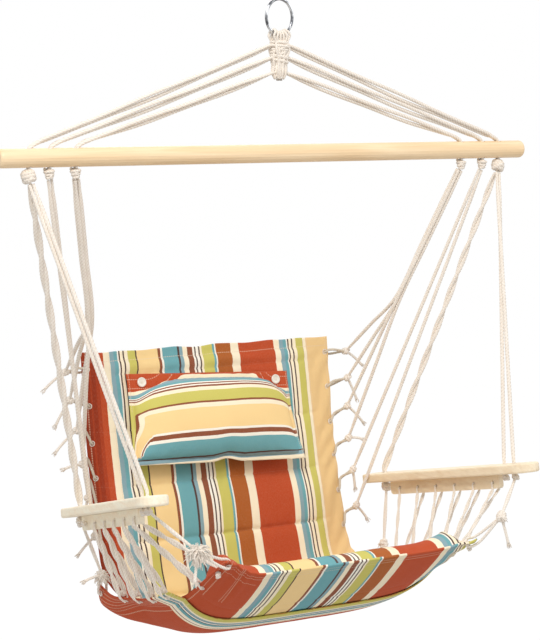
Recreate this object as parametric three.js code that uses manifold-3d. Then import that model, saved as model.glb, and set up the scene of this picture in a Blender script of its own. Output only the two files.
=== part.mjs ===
// Hammock chair that hangs from one steel ring: a rope head, a round wooden spreader bar, cotton
// cords, a padded fabric sling with a band under the seat, two laced wooden armrests and a head
// pillow. Millimetres, +Z up, +X along the bar, the sitter faces -Y. The origin is the inside top
// of the ring, where a hook bears.
import * as THREE from "three";
import { mergeVertices } from "three/addons/utils/BufferGeometryUtils.js";
import Module from "manifold-3d";

const wasm = await Module();
wasm.setup();

// General fits
const FIT_GAP = 0.3;
const CUT_OVERRUN = 20;
const JOIN_TOLERANCE = 0.03;
const CORD = 5;
const LACE = 4;
const CORD_SIDES = 8;
const PAIR_CENTRE_SHARE = 0.49;

// Steel ring
const RING_OUTER = 63;
const RING_WIRE = 5;
const RING_TURN_DEGREES = 12;

// Rope head, knotted round the ring
const HEAD_TOP = 62.5;
const HEAD_LENGTH = 66;
const HEAD_WIDTH = 38;
const HEAD_DEPTH = 28;
const HEAD_CORD = 4.6;
const HEAD_LOOP_PITCH = 6.2;
const HEAD_LOOP_SLACK = 2;
const HEAD_LOOP_SAG = 1.65;

// Wooden spreader bar
const BAR_DROP = 248;
const BAR_LENGTH = 1000;
const BAR_DIAMETER = 30;
const BAR_END_ROUND = 5;
const BAR_HOLE = 12;
const INNER_HOLE_FROM_END = 130;
const MIDDLE_HOLE_FROM_END = 85;
const OUTER_HOLE_FROM_END = 50;

// Knots under the bar: the lower cords hinge about a line through their centres
const KNOT_DROP = 28.4;
const OUTER_KNOT = 26;
const COLLAR_KNOT = 19;
const COLLAR_KNOT_FOOT = 13;

// Fabric sling: back and seat in one padded piece
const SLING_WIDTH = 476;
const SLING_REACH = 241;
const SLING_DROP = 784;
const SLING_FORWARD = 9;
const SLING_HEM = 4;
const SIDE_BAND = 58;
const SEAT_SIDE_BAND = 22;
const HEM_WIDTH = 16;
const TOP_CHANNEL = 40;
const CHANNELS = 8;
const OUTER_CROWN_SHARE = 0.05;
const HOLE_SLACK = 3;
const BACK_PAD = 8;
const SEAT_PAD = 21;
const FRONT_PAD = 40;
const LEFT_CORNER_LIFT = 29;
const RIGHT_CORNER_LIFT = 4;
const CORNER_FORWARD = 20;

// Band under the seat, with a flap up each side
const BAND_CLOTH = 3;
const BAND_BELOW = 6;
const BAND_FRONT = 107;
const BAND_REAR_DROP = 745;
const FLAP_OUT = 30;
const FLAP_RISE = 15;
const FLAP_REAR_FALL = 44;

// Armrests: a board with a lacing rail below
const ARM_LENGTH = 423;
const ARM_WIDTH = 48;
const ARM_THICKNESS = 16;
const ARM_EDGE_ROUND = 3;
const ARM_REAR_BESIDE_SLING = 61;
const ARM_REAR_BEHIND = 168;
const ARM_REAR_DROP = 596;
const LEFT_ARM_SPLAY_DEGREES = 8;
const RIGHT_ARM_SPLAY_DEGREES = 6.6;
const LEFT_ARM_RISE_DEGREES = 13.2;
const RIGHT_ARM_RISE_DEGREES = 10.9;
const ARM_REAR_HOLE_FROM_END = 41;
const ARM_REAR_HOLE = 12;
const ARM_FRONT_HOLES_FROM_END = [72, 49];
const ARM_FRONT_HOLE = 6.6;
const RAIL_START = 58;
const RAIL_FROM_FRONT = 85;
const RAIL_HEIGHT = 24;
const RAIL_THICKNESS = 10;
const RAIL_HOLE = 5.6;
const RAIL_HOLE_START = 25;
const RAIL_HOLE_END = 15;
const RAIL_HOLES = 6;

// Lacing between each rail and the seat's side
const LACE_EYES_BEHIND = [41, -9, -56, -97, -161, -209];
const BAND_EYES = 4;
const LACE_EYE_INSET = 8;
const LACE_KNOT = 9;

// Cords from the outer holes, through the armrests, to the corners of the seat
const FRONT_ARM_KNOT = 13;
const REAR_ARM_KNOT = 19;
const CORNER_KNOT = 17;
const CORNER_KNOT_LENGTH = 22;
const CORNER_EYE_INSET = 13;
const FRONT_CORNER_FROM_HEM = 12;
const REAR_CORNER_FROM_HEM = 14;

// Head pillow
const PILLOW_LENGTH = 326;
const PILLOW_HEIGHT = 144;
const PILLOW_CROWN = 35;
const PILLOW_HEM = 4;
const PILLOW_HEM_WIDTH = 14;
const PILLOW_FLAP = 12;
const PILLOW_OFF_CENTRE = -14;
const PILLOW_DROP = 388;
const PILLOW_TILT_DEGREES = 3;
const BUTTON_DIAMETER = 17;
const BUTTON_THICKNESS = 4;
const BUTTON_SPREAD = 272;
const BUTTON_FROM_TOP = 15;

// Places that follow from these sizes
const innerHoleOut = BAR_LENGTH / 2 - INNER_HOLE_FROM_END;
const middleHoleOut = BAR_LENGTH / 2 - MIDDLE_HOLE_FROM_END;
const outerHoleOut = BAR_LENGTH / 2 - OUTER_HOLE_FROM_END;
const armRearOut = SLING_WIDTH / 2 + ARM_REAR_BESIDE_SLING;
const railLength = ARM_LENGTH - RAIL_START - RAIL_FROM_FRONT;
const railHolePitch = (railLength - RAIL_HOLE_START - RAIL_HOLE_END) / (RAIL_HOLES - 1);

const chair = new THREE.Group();
const sides = [
  ["left", -1],
  ["right", 1],
];

// Finishes
const steel = () => new THREE.MeshStandardMaterial({ color: 0xc9ccd0, roughness: 0.2, metalness: 1 });
const cotton = () => new THREE.MeshStandardMaterial({ color: 0xe8dcc6, roughness: 0.9 });
const pine = () => new THREE.MeshStandardMaterial({ color: 0xecd0a2, roughness: 0.5 });
const canvas = () => new THREE.MeshStandardMaterial({ color: 0xb9552f, roughness: 0.9 });
const cushion = () => new THREE.MeshStandardMaterial({ color: 0x4f97a3, roughness: 0.9 });
const enamel = () => new THREE.MeshStandardMaterial({ color: 0xf6f3ea, roughness: 0.3 });

// Adds one named piece to the chair, or to a group inside it
function piece(name, geometry, material, parent = chair) {
  const mesh = new THREE.Mesh(geometry, material);
  mesh.name = name;
  parent.add(mesh);
  return mesh;
}

// A closed geometry as a solid that can be cut and joined
function solidOf(geometry) {
  const bare = new THREE.BufferGeometry();
  bare.setAttribute("position", geometry.getAttribute("position"));
  bare.setIndex(geometry.getIndex());
  const merged = mergeVertices(bare, 1e-4);
  return new wasm.Manifold(
    new wasm.Mesh({
      numProp: 3,
      vertProperties: new Float32Array(merged.getAttribute("position").array),
      triVerts: new Uint32Array(merged.getIndex().array),
    }),
  );
}

function geometryOf(solid) {
  const mesh = solid.simplify(JOIN_TOLERANCE).getMesh();
  const geometry = new THREE.BufferGeometry();
  geometry.setAttribute("position", new THREE.BufferAttribute(mesh.vertProperties, 3));
  geometry.setIndex(new THREE.BufferAttribute(mesh.triVerts, 1));
  geometry.computeVertexNormals();
  return geometry;
}

function joined(geometries) {
  return geometries.map(solidOf).reduce((whole, part) => whole.add(part));
}

function cut(solid, geometries) {
  return geometries.map(solidOf).reduce((rest, tool) => rest.subtract(tool), solid);
}

// A place given by its distance along the bar, behind it, and below its axis
function at(out, behind, drop) {
  return new THREE.Vector3(out, behind, -BAR_DROP - drop);
}

// A cord's route, with one ring of its tube at each point
class Route extends THREE.Curve {
  constructor(points) {
    super();
    this.points = points;
  }

  getPoint(share, target = new THREE.Vector3()) {
    const last = this.points.length - 1;
    const before = Math.min(Math.floor(share * last + 1e-9), last - 1);
    return target.lerpVectors(this.points[before], this.points[before + 1], share * last - before);
  }

  getPointAt(share, target) {
    return this.getPoint(share, target);
  }

  getTangentAt(share, target = new THREE.Vector3()) {
    const last = this.points.length - 1;
    const here = Math.round(share * last);
    const into = this.points[Math.max(here, 1)].clone().sub(this.points[Math.max(here, 1) - 1]);
    const next = Math.min(here, last - 1);
    const out = this.points[next + 1].clone().sub(this.points[next]);
    return target.copy(into.normalize()).add(out.normalize()).normalize();
  }
}

// The outline of one round cord, or of two that lie side by side and touch
function roundSection(diameter, faces = CORD_SIDES) {
  const outline = [...Array(faces).keys()].map((side) => {
    const turn = ((side + 0.5) / faces) * 2 * Math.PI;
    return new THREE.Vector2(Math.cos(turn), Math.sin(turn)).multiplyScalar(diameter / 2);
  });
  return new THREE.Shape(outline);
}

function pairSection(diameter, turned = false) {
  const centre = diameter * PAIR_CENTRE_SHARE;
  const neck = Math.acos(PAIR_CENTRE_SHARE * 2);
  const outline = [];
  for (const [middle, from] of [
    [centre, neck - Math.PI],
    [-centre, neck],
  ]) {
    for (let side = 0; side < CORD_SIDES; side += 1) {
      const turn = from + (side / CORD_SIDES) * 2 * (Math.PI - neck);
      const place = new THREE.Vector2(Math.cos(turn), Math.sin(turn)).multiplyScalar(diameter / 2);
      place.x += middle;
      outline.push(turned ? new THREE.Vector2(-place.y, place.x) : place);
    }
  }
  return new THREE.Shape(outline);
}

function tube(points, section) {
  const route = new Route(points);
  return new THREE.ExtrudeGeometry(section, {
    steps: points.length - 1,
    extrudePath: route,
    curveSegments: 1,
  });
}

function cord(points, diameter = CORD, faces = CORD_SIDES) {
  return tube(points, roundSection(diameter, faces));
}

// More points on a smooth curve through a few
function smooth(points, count) {
  return new THREE.CatmullRomCurve3(points).getSpacedPoints(count);
}

function ball(centre, across, along, direction) {
  const geometry = new THREE.SphereGeometry(1, 8, 6);
  geometry.scale(across / 2, along / 2, across / 2);
  const upright = new THREE.Vector3(0, 1, 0);
  const turn = new THREE.Quaternion().setFromUnitVectors(upright, direction.clone().normalize());
  geometry.applyQuaternion(turn);
  geometry.translate(centre.x, centre.y, centre.z);
  return geometry;
}

function ramp(value, from, to) {
  return THREE.MathUtils.smoothstep(value, Math.min(from, to), Math.max(from, to));
}

// Steel ring, its plane turned a little from the bar
const ringTurn = THREE.MathUtils.degToRad(RING_TURN_DEGREES);
const ringRadius = (RING_OUTER - RING_WIRE) / 2;
const ringCentreDrop = ringRadius - RING_WIRE / 2;
{
  const geometry = new THREE.TorusGeometry(ringRadius, RING_WIRE / 2, 10, 32);
  geometry.rotateX(Math.PI / 2);
  geometry.rotateZ(ringTurn);
  geometry.translate(0, 0, -ringCentreDrop);
  piece("hanging_ring", geometry, steel());
}

// Rope head: a knotted column with loops over the ring's lower arc
const headLoopTurns = [-2.5, -1.5, -0.5, 0.5, 1.5, 2.5].map((step) => (step * HEAD_LOOP_PITCH) / ringRadius);
const headWidthShares = [
  [0, 0.8],
  [0.12, 1],
  [0.26, 0.9],
  [0.33, 0.78],
  [0.45, 0.92],
  [0.57, 0.82],
  [0.63, 0.72],
  [0.78, 0.8],
  [0.9, 0.68],
  [1, 0.44],
];

function headHalfWidth(share) {
  const after = headWidthShares.findIndex(([place]) => place >= share);
  const [lowPlace, low] = headWidthShares[Math.max(after - 1, 0)];
  const [highPlace, high] = headWidthShares[after];
  const between = highPlace > lowPlace ? (share - lowPlace) / (highPlace - lowPlace) : 0;
  return (HEAD_WIDTH / 2) * THREE.MathUtils.lerp(low, high, between);
}

// One loop stands square to the wire where it crosses it, and its legs run down into the column
function headLoop(turn) {
  const sideways = new THREE.Vector3(Math.cos(ringTurn), Math.sin(ringTurn), 0);
  const across = new THREE.Vector3(-Math.sin(ringTurn), Math.cos(ringTurn), 0);
  const radial = sideways.clone().multiplyScalar(Math.sin(turn));
  radial.z = -Math.cos(turn);
  const wire = radial.clone().multiplyScalar(ringRadius + HEAD_LOOP_SAG);
  wire.z -= ringCentreDrop;
  const bend = RING_WIRE / 2 + HEAD_LOOP_SLACK + HEAD_CORD / 2;
  const foot = (face) => {
    const end = sideways.clone().multiplyScalar(ringRadius * Math.sin(turn) * 0.8);
    return end.addScaledVector(across, face * bend * 0.75).setZ(-HEAD_TOP - HEAD_CORD);
  };
  const points = [foot(-1)];
  for (let step = 0; step <= 6; step += 1) {
    const bow = Math.PI * (1 - step / 6);
    const point = wire.clone().addScaledVector(across, bend * Math.cos(bow));
    points.push(point.addScaledVector(radial, -bend * Math.sin(bow)));
  }
  points.push(foot(1));
  return cord(points, HEAD_CORD);
}

{
  const profile = headWidthShares.map(
    ([share, width]) => new THREE.Vector2((HEAD_WIDTH / 2) * width, -HEAD_TOP - HEAD_LENGTH * share),
  );
  const foot = new THREE.Vector2(0, -HEAD_TOP - HEAD_LENGTH);
  const outline = [new THREE.Vector2(0, -HEAD_TOP), ...profile, foot];
  const column = new THREE.LatheGeometry(outline.reverse(), 16);
  column.rotateX(Math.PI / 2);
  column.scale(1, HEAD_DEPTH / HEAD_WIDTH, 1);
  piece("rope_head", geometryOf(joined([column, ...headLoopTurns.map(headLoop)])), cotton());
}

// Spreader bar with three upright holes near each end
const barTop = BAR_DIAMETER / 2;
const cordGroups = [
  ["inner", innerHoleOut, 0.84],
  ["middle", middleHoleOut, 0.48],
  ["outer", outerHoleOut, 0.18],
];
{
  const outline = new THREE.Shape();
  outline.moveTo(0, -BAR_LENGTH / 2);
  outline.lineTo(barTop - BAR_END_ROUND, -BAR_LENGTH / 2);
  outline.absarc(barTop - BAR_END_ROUND, BAR_END_ROUND - BAR_LENGTH / 2, BAR_END_ROUND, -Math.PI / 2, 0);
  outline.absarc(barTop - BAR_END_ROUND, BAR_LENGTH / 2 - BAR_END_ROUND, BAR_END_ROUND, 0, Math.PI / 2);
  outline.lineTo(0, BAR_LENGTH / 2);
  const round = new THREE.LatheGeometry(outline.getPoints(3), 20);
  round.rotateZ(-Math.PI / 2);
  round.translate(0, 0, -BAR_DROP);
  const drills = cordGroups.flatMap(([, out]) =>
    sides.map(([, side]) => {
      const drill = new THREE.CylinderGeometry(BAR_HOLE / 2, BAR_HOLE / 2, BAR_DIAMETER + CUT_OVERRUN, 12);
      drill.rotateX(Math.PI / 2);
      return drill.translate(side * out, 0, -BAR_DROP);
    }),
  );
  piece("spreader_bar", geometryOf(cut(solidOf(round), drills)), pine());
}

// Upper cords: a pair from the head to each hole, over its edge and down to the knot
function upperPair(side, out, headShare) {
  const entry = headHalfWidth(headShare) + FIT_GAP / 2;
  const edge = out - BAR_HOLE / 2;
  const points = [
    [entry, BAR_DROP - HEAD_TOP - HEAD_LENGTH * headShare],
    [edge - CORD, barTop + CORD * 1.3],
    [edge + CORD * 0.64, barTop + CORD * 0.42],
    [out - CORD * 0.1, barTop - CORD * 1.2],
    [out, 0],
    [out, -barTop],
  ];
  return tube(
    points.map(([along, up]) => at(side * along, 0, -up)),
    pairSection(CORD),
  );
}

// Knots under the bar
const kneeDrop = KNOT_DROP;
function collarKnot(out) {
  const top = barTop + FIT_GAP * 1.4 - kneeDrop;
  const outline = new THREE.Path();
  outline.moveTo(0, -COLLAR_KNOT_FOOT / 2);
  outline.absarc(0, 0, COLLAR_KNOT_FOOT / 2, -Math.PI / 2, 0);
  outline.lineTo(COLLAR_KNOT / 2, -top * 0.55);
  outline.lineTo(COLLAR_KNOT / 2.1, -top * 0.86);
  outline.lineTo(COLLAR_KNOT / 2.6, -top);
  outline.lineTo(0, -top);
  const geometry = new THREE.LatheGeometry(outline.getPoints(4), 12);
  geometry.rotateX(Math.PI / 2);
  const centre = at(out, 0, kneeDrop);
  return geometry.translate(centre.x, centre.y, centre.z);
}

for (const [sideName, side] of sides) {
  for (const [group, out, headShare] of cordGroups) {
    piece(`${sideName}_${group}_upper_cords`, upperPair(side, out, headShare), cotton());
    const upright = new THREE.Vector3(0, 0, 1);
    const centre = at(side * out, 0, kneeDrop);
    const knot = group === "outer" ? ball(centre, OUTER_KNOT, OUTER_KNOT, upright) : collarKnot(side * out);
    piece(`${sideName}_${group}_bar_knot`, knot, cotton());
  }
}

// Side profile of the sling, in the middle and along its edges, from the back's top to the front
// hem, as shares of the sling's reach behind the bar and of its drop
const middleShares = [
  [1, 0.434],
  [0.866, 0.631],
  [0.7, 0.829],
  [0.622, 0.921],
  [0.468, 0.989],
  [0.145, 1],
  [-0.228, 0.966],
  [-0.477, 0.921],
  [-0.863, 0.816],
];
const edgeShares = [
  [1, 0.434],
  [0.918, 0.631],
  [0.772, 0.823],
  [0.66, 0.908],
  [0.46, 0.934],
  [0.145, 0.923],
  [-0.241, 0.897],
  [-0.519, 0.862],
  [-0.884, 0.809],
];
const sagPower = 6;
const crossLift = 1.5;

function profileCurve(shares) {
  const placeOf = ([reach, drop]) => at(0, reach * SLING_REACH - SLING_FORWARD, drop * SLING_DROP);
  const places = shares.map(placeOf);
  return new THREE.CatmullRomCurve3(places);
}
const middleCurve = profileCurve(middleShares);
const edgeCurve = profileCurve(edgeShares);
middleCurve.arcLengthDivisions = 800;
const slingLength = middleCurve.getLength();

// The sling's middle surface: across from -1 to 1, along in millimetres from the top hem
function slingPoint(across, along) {
  const share = middleCurve.getUtoTmapping(THREE.MathUtils.clamp(along / slingLength, 0, 1));
  const point = middleCurve.getPoint(share);
  point.lerp(edgeCurve.getPoint(share), Math.abs(across) ** sagPower);
  const lift = across < 0 ? LEFT_CORNER_LIFT : RIGHT_CORNER_LIFT;
  const corner = ramp(Math.abs(across), 0.6, 1) ** crossLift * ramp(share, 0.84, 1);
  point.z += lift * corner;
  point.y -= (CORNER_FORWARD * corner * lift) / LEFT_CORNER_LIFT;
  point.x = (across * SLING_WIDTH) / 2;
  return point;
}

// The way out of the sling, away from the sitter, in the plane of its side profile
function slingOutward(across, along) {
  const reach = slingLength * 0.004;
  const way = slingPoint(across, along + reach).sub(slingPoint(across, along - reach));
  return new THREE.Vector3(0, -way.z, way.y).normalize();
}

const channelPitch = (slingLength - HEM_WIDTH - TOP_CHANNEL) / CHANNELS;

function slingThickness(across, along) {
  const seatStart = TOP_CHANNEL + channelPitch * 4;
  const frontStart = TOP_CHANNEL + channelPitch * 6.8;
  const seat = ramp(along, seatStart - channelPitch / 2, seatStart + channelPitch / 2);
  const front = ramp(along, frontStart - channelPitch / 3, frontStart + channelPitch / 3);
  let pad = THREE.MathUtils.lerp(BACK_PAD, SEAT_PAD, seat);
  pad = THREE.MathUtils.lerp(pad, FRONT_PAD, front);
  const band = THREE.MathUtils.lerp(SIDE_BAND, SEAT_SIDE_BAND, seat);
  const inward = (1 - Math.abs(across)) * (SLING_WIDTH / 2);
  const side = ramp(inward, band * 0.55, band * 1.35);
  const channel = (along - TOP_CHANNEL) / channelPitch;
  const topShare = (along - HEM_WIDTH) / (TOP_CHANNEL - HEM_WIDTH);
  const share = channel < 0 ? topShare : channel - Math.floor(channel + 1e-6);
  const crown = Math.min(Math.max(Math.sin(Math.PI * share), 0) * 2.2, 1);
  const open = along < HEM_WIDTH || channel > CHANNELS - 1e-6 ? 0 : 1;
  return SLING_HEM + (pad - SLING_HEM) * side * crown * open;
}

// A closed sheet from two surfaces over the same grid
function sheet(acrossPlaces, alongPlaces, faceA, faceB) {
  const positions = [];
  const index = [];
  const columns = acrossPlaces.length;
  const rows = alongPlaces.length;
  for (const face of [faceA, faceB]) {
    for (const along of alongPlaces) {
      for (const across of acrossPlaces) positions.push(...face(across, along).toArray());
    }
  }
  const corner = (face, row, column) => (face * rows + row) * columns + column;
  const quad = (a, b, c, d) => index.push(a, b, c, a, c, d);
  for (let row = 0; row < rows - 1; row += 1) {
    for (let column = 0; column < columns - 1; column += 1) {
      const [next, beyond] = [row + 1, column + 1];
      quad(corner(0, row, column), corner(0, row, beyond), corner(0, next, beyond), corner(0, next, column));
      quad(corner(1, row, column), corner(1, next, column), corner(1, next, beyond), corner(1, row, beyond));
    }
    quad(corner(0, row, 0), corner(0, row + 1, 0), corner(1, row + 1, 0), corner(1, row, 0));
    const last = columns - 1;
    quad(corner(0, row, last), corner(1, row, last), corner(1, row + 1, last), corner(0, row + 1, last));
  }
  for (let column = 0; column < columns - 1; column += 1) {
    quad(corner(0, 0, column), corner(1, 0, column), corner(1, 0, column + 1), corner(0, 0, column + 1));
    const [last, next] = [rows - 1, column + 1];
    quad(corner(0, last, column), corner(0, last, next), corner(1, last, next), corner(1, last, column));
  }
  const geometry = new THREE.BufferGeometry();
  geometry.setAttribute("position", new THREE.Float32BufferAttribute(positions, 3));
  geometry.setIndex(index);
  return geometry;
}

// Places across: close together where the pad rises from its side bands
const acrossShares = [0, 0.35, 0.66, 0.78, 0.88, 0.95, 1];
const acrossPlaces = [...acrossShares.slice(1).reverse().map((share) => -share), ...acrossShares];

// Places along: the hems, each channel's seam and its crown
const crownShares = [0, 0.16, 0.84];
const alongPlaces = [0, HEM_WIDTH, (HEM_WIDTH + TOP_CHANNEL) / 2];
for (let channel = 0; channel < CHANNELS; channel += 1) {
  crownShares.forEach((share) => alongPlaces.push(TOP_CHANNEL + channelPitch * (channel + share)));
}
alongPlaces.push(slingLength - HEM_WIDTH, slingLength);

function slingFace(face) {
  const crownShare = face > 0 ? OUTER_CROWN_SHARE : 1 - OUTER_CROWN_SHARE;
  return (across, along) => {
    const crown = slingThickness(across, along) - SLING_HEM;
    const reach = face * (SLING_HEM / 2 + crown * crownShare);
    return slingPoint(across, along).addScaledVector(slingOutward(across, along), reach);
  };
}

// Where the back's plane lies at a given drop below the bar's axis
function slingAlongAtDrop(drop) {
  let low = 0;
  let high = slingLength * 0.56;
  for (let step = 0; step < 40; step += 1) {
    const middle = (low + high) / 2;
    if (slingPoint(0, middle).z > -BAR_DROP - drop) low = middle;
    else high = middle;
  }
  return low;
}

// Where the seat's edge lies at a given distance behind the bar
function slingAlongAtReach(across, behind) {
  let low = slingLength * 0.5;
  let high = slingLength;
  for (let step = 0; step < 40; step += 1) {
    const middle = (low + high) / 2;
    if (slingPoint(across, middle).y > behind) low = middle;
    else high = middle;
  }
  return low;
}

// Eyes and knots that tie the back cords to the sling's sides: places down the back, and each
// knot's place from its eye, chosen by hand
const EYE_INSET = 8;
const EYE_KNOT = 13;
const EYE_KNOT_LENGTH = 17;
const eyeDrops = [368, 430, 493, 552, 617, 679];
const knotsFromEye = [
  [44, -5, 1],
  [41, -7, -14],
  [34, -8, -27],
  [29, -8, -28],
  [28, -9, -36],
  [24, -9, -34],
];
const tailsFromKnot = [
  [40, 4, 20],
  [26, 6, 34],
  [40, 4, 26],
  [36, 4, 0],
  [8, 4, 30],
  [30, 6, 22],
];

function mirrored(point, side) {
  return new THREE.Vector3(point.x * side, point.y, point.z);
}

function eyePlaces(index, side) {
  const along = slingAlongAtDrop(eyeDrops[index]);
  const across = side * (1 - EYE_INSET / (SLING_WIDTH / 2));
  const hole = slingPoint(across, along);
  const [out, behind, drop] = knotsFromEye[index];
  const knot = hole.clone().add(new THREE.Vector3(side * out, behind, -drop));
  const toHem = slingPoint(side, along).sub(slingPoint(across, along));
  const down = slingPoint(across, along + EYE_INSET).sub(slingPoint(across, along - EYE_INSET));
  const outward = toHem.cross(down).multiplyScalar(side).normalize();
  return { hole, knot, outward };
}

// One strand of the eye in front of the fabric, through its hole, and one behind. The strands run
// flat along the fabric until they are past its hem, then close in on the knot
function eyeStrands(hole, knot, outward) {
  const way = knot.clone().sub(hole);
  const flat = way.clone().addScaledVector(outward, -way.dot(outward)).normalize();
  const edge = EYE_INSET / Math.abs(flat.x);
  const half = SLING_HEM / 2 + CORD / 2 + FIT_GAP * 4.4;
  const beside = outward.clone().projectOnPlane(way.clone().normalize()).setLength(CORD / 2 + FIT_GAP * 2);
  const inKnot = knot.clone().addScaledVector(way.clone().normalize(), -EYE_KNOT / 4);
  const strand = (face) => [
    inKnot.clone().addScaledVector(beside, face),
    hole.clone().addScaledVector(flat, edge + CORD).addScaledVector(outward, face * half),
    hole.clone().addScaledVector(flat, edge * 0.5).addScaledVector(outward, face * half * 1.1),
    hole.clone().addScaledVector(flat, CORD * 0.15).addScaledVector(outward, face * half * 0.91),
  ];
  return [...strand(-1), hole.clone().addScaledVector(flat, -CORD * 0.14), ...strand(1).reverse()];
}

// Back cords. Four leave each inner knot as a bundle and fan out to the four upper eyes, two leave
// each middle knot for the lower eyes
const fanPoint = [303, 92, 262];
const BUNDLE_PITCH = 5.6;
const bundlePlaces = [
  [0.5, 0.5],
  [-0.5, 0.5],
  [0.5, -0.5],
  [-0.5, -0.5],
];

function startAtKnot(knee, way, offset, clear) {
  const beside = offset.clone().addScaledVector(way, -offset.dot(way));
  const nearest = Math.max(beside.length() - CORD / 2, 0);
  return knee.clone().add(beside).addScaledVector(way, Math.sqrt(clear ** 2 - nearest ** 2));
}

function backCordStart(index, side) {
  const { knot } = eyePlaces(index, 1);
  const clear = COLLAR_KNOT_FOOT / 2 + FIT_GAP * 1.4;
  if (index < 4) {
    const knee = at(innerHoleOut, 0, kneeDrop);
    const fan = at(...fanPoint);
    const way = fan.clone().sub(knee).normalize();
    const outward = new THREE.Vector3(0, 1, 0).addScaledVector(way, -way.y).normalize();
    const aside = outward.clone().cross(way);
    const [u, w] = bundlePlaces[index];
    const offset = outward.multiplyScalar(w * BUNDLE_PITCH).addScaledVector(aside, u * BUNDLE_PITCH);
    return [startAtKnot(knee, way, offset, clear), fan.clone().add(offset)].map((p) => mirrored(p, side));
  }
  const knee = at(middleHoleOut, 0, kneeDrop);
  const way = knot.clone().sub(knee).normalize();
  const offset = new THREE.Vector3(index === 4 ? -BUNDLE_PITCH / 2 : BUNDLE_PITCH / 2, 0, 0);
  return [mirrored(startAtKnot(knee, way, offset, clear), side)];
}

function backCord(index, side) {
  const { hole, knot, outward } = eyePlaces(index, side);
  const [out, behind, drop] = tailsFromKnot[index];
  const tail = new THREE.Vector3(side * out, behind, -drop);
  const tailMiddle = knot.clone().addScaledVector(tail, 0.55);
  const tailEnd = knot.clone().add(tail).setZ(knot.z + tail.z * 1.2);
  const way = knot.clone().sub(hole);
  const strands = smooth(eyeStrands(hole, knot, outward), 10);
  return joined([
    cord([...backCordStart(index, side), knot], CORD, 6),
    cord(strands, CORD, 6),
    ball(knot, EYE_KNOT, EYE_KNOT_LENGTH, way),
    cord([knot, tailMiddle, tailEnd], CORD, 6),
  ]);
}

// A straight drill through the fabric at an eye
function eyeDrill(hole, down, diameter) {
  const reach = CUT_OVERRUN / 2;
  const ends = [hole.clone().addScaledVector(down, -reach), hole.clone().addScaledVector(down, reach)];
  return cord(ends, diameter + HOLE_SLACK, 6);
}

const slingEyes = [];
for (const [sideName, side] of sides) {
  eyeDrops.forEach((drop, index) => {
    const { hole, outward } = eyePlaces(index, side);
    slingEyes.push(eyeDrill(hole, outward, CORD));
    piece(`${sideName}_back_cord_${index + 1}`, geometryOf(backCord(index, side)), cotton());
  });
}

// Armrests
function armFrame(side) {
  const armRise = THREE.MathUtils.degToRad(side < 0 ? LEFT_ARM_RISE_DEGREES : RIGHT_ARM_RISE_DEGREES);
  const armSplay = THREE.MathUtils.degToRad(side < 0 ? LEFT_ARM_SPLAY_DEGREES : RIGHT_ARM_SPLAY_DEGREES);
  const along = new THREE.Vector3(
    side * Math.sin(armSplay) * Math.cos(armRise),
    -Math.cos(armSplay) * Math.cos(armRise),
    Math.sin(armRise),
  );
  const up = new THREE.Vector3(0, 0, 1).addScaledVector(along, -along.z).normalize();
  const across = up.clone().cross(along);
  return { along, across, up, rear: at(side * armRearOut, ARM_REAR_BEHIND, ARM_REAR_DROP) };
}

// A place on an armrest: from its rear end, outward from its middle, and up from its middle
function armPoint(side, along, outward, up) {
  const frame = armFrame(side);
  return frame.rear
    .clone()
    .addScaledVector(frame.along, along)
    .addScaledVector(frame.across, outward * side)
    .addScaledVector(frame.up, up);
}

function boardOutline() {
  const shape = new THREE.Shape();
  const half = ARM_WIDTH / 2 - ARM_EDGE_ROUND;
  const back = ARM_EDGE_ROUND;
  const front = ARM_LENGTH - ARM_EDGE_ROUND;
  const nose = half * 0.8;
  shape.moveTo(back + half * 0.35, -half);
  shape.lineTo(front - nose * 1.6, -half);
  shape.quadraticCurveTo(front - nose * 0.1, -half * 0.95, front, 0);
  shape.quadraticCurveTo(front - nose * 0.1, half * 0.95, front - nose * 1.6, half);
  shape.lineTo(back + half * 0.35, half);
  shape.quadraticCurveTo(back, half, back, half * 0.6);
  shape.lineTo(back, -half * 0.6);
  shape.quadraticCurveTo(back, -half, back + half * 0.35, -half);
  return shape;
}

function armrestBoard() {
  const board = new THREE.ExtrudeGeometry(boardOutline(), {
    depth: ARM_THICKNESS - 2 * ARM_EDGE_ROUND,
    bevelEnabled: true,
    bevelSize: ARM_EDGE_ROUND,
    bevelThickness: ARM_EDGE_ROUND,
    bevelSegments: 2,
    curveSegments: 5,
  });
  board.translate(0, 0, ARM_EDGE_ROUND - ARM_THICKNESS / 2);
  const holes = [
    [ARM_REAR_HOLE_FROM_END, ARM_REAR_HOLE],
    ...ARM_FRONT_HOLES_FROM_END.map((place) => [ARM_LENGTH - place, ARM_FRONT_HOLE]),
  ];
  const drills = holes.map(([place, diameter]) => {
    const drill = new THREE.CylinderGeometry(diameter / 2, diameter / 2, ARM_THICKNESS + CUT_OVERRUN, 12);
    drill.rotateX(Math.PI / 2);
    return drill.translate(place, 0, 0);
  });
  return geometryOf(cut(solidOf(board), drills));
}

const firstRailHole = RAIL_START + RAIL_HOLE_START;
const railHolePlaces = [...Array(RAIL_HOLES).keys()].map((hole) => firstRailHole + hole * railHolePitch);
const railHoleDrop = ARM_THICKNESS / 2 + RAIL_HEIGHT * 0.52;

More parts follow.
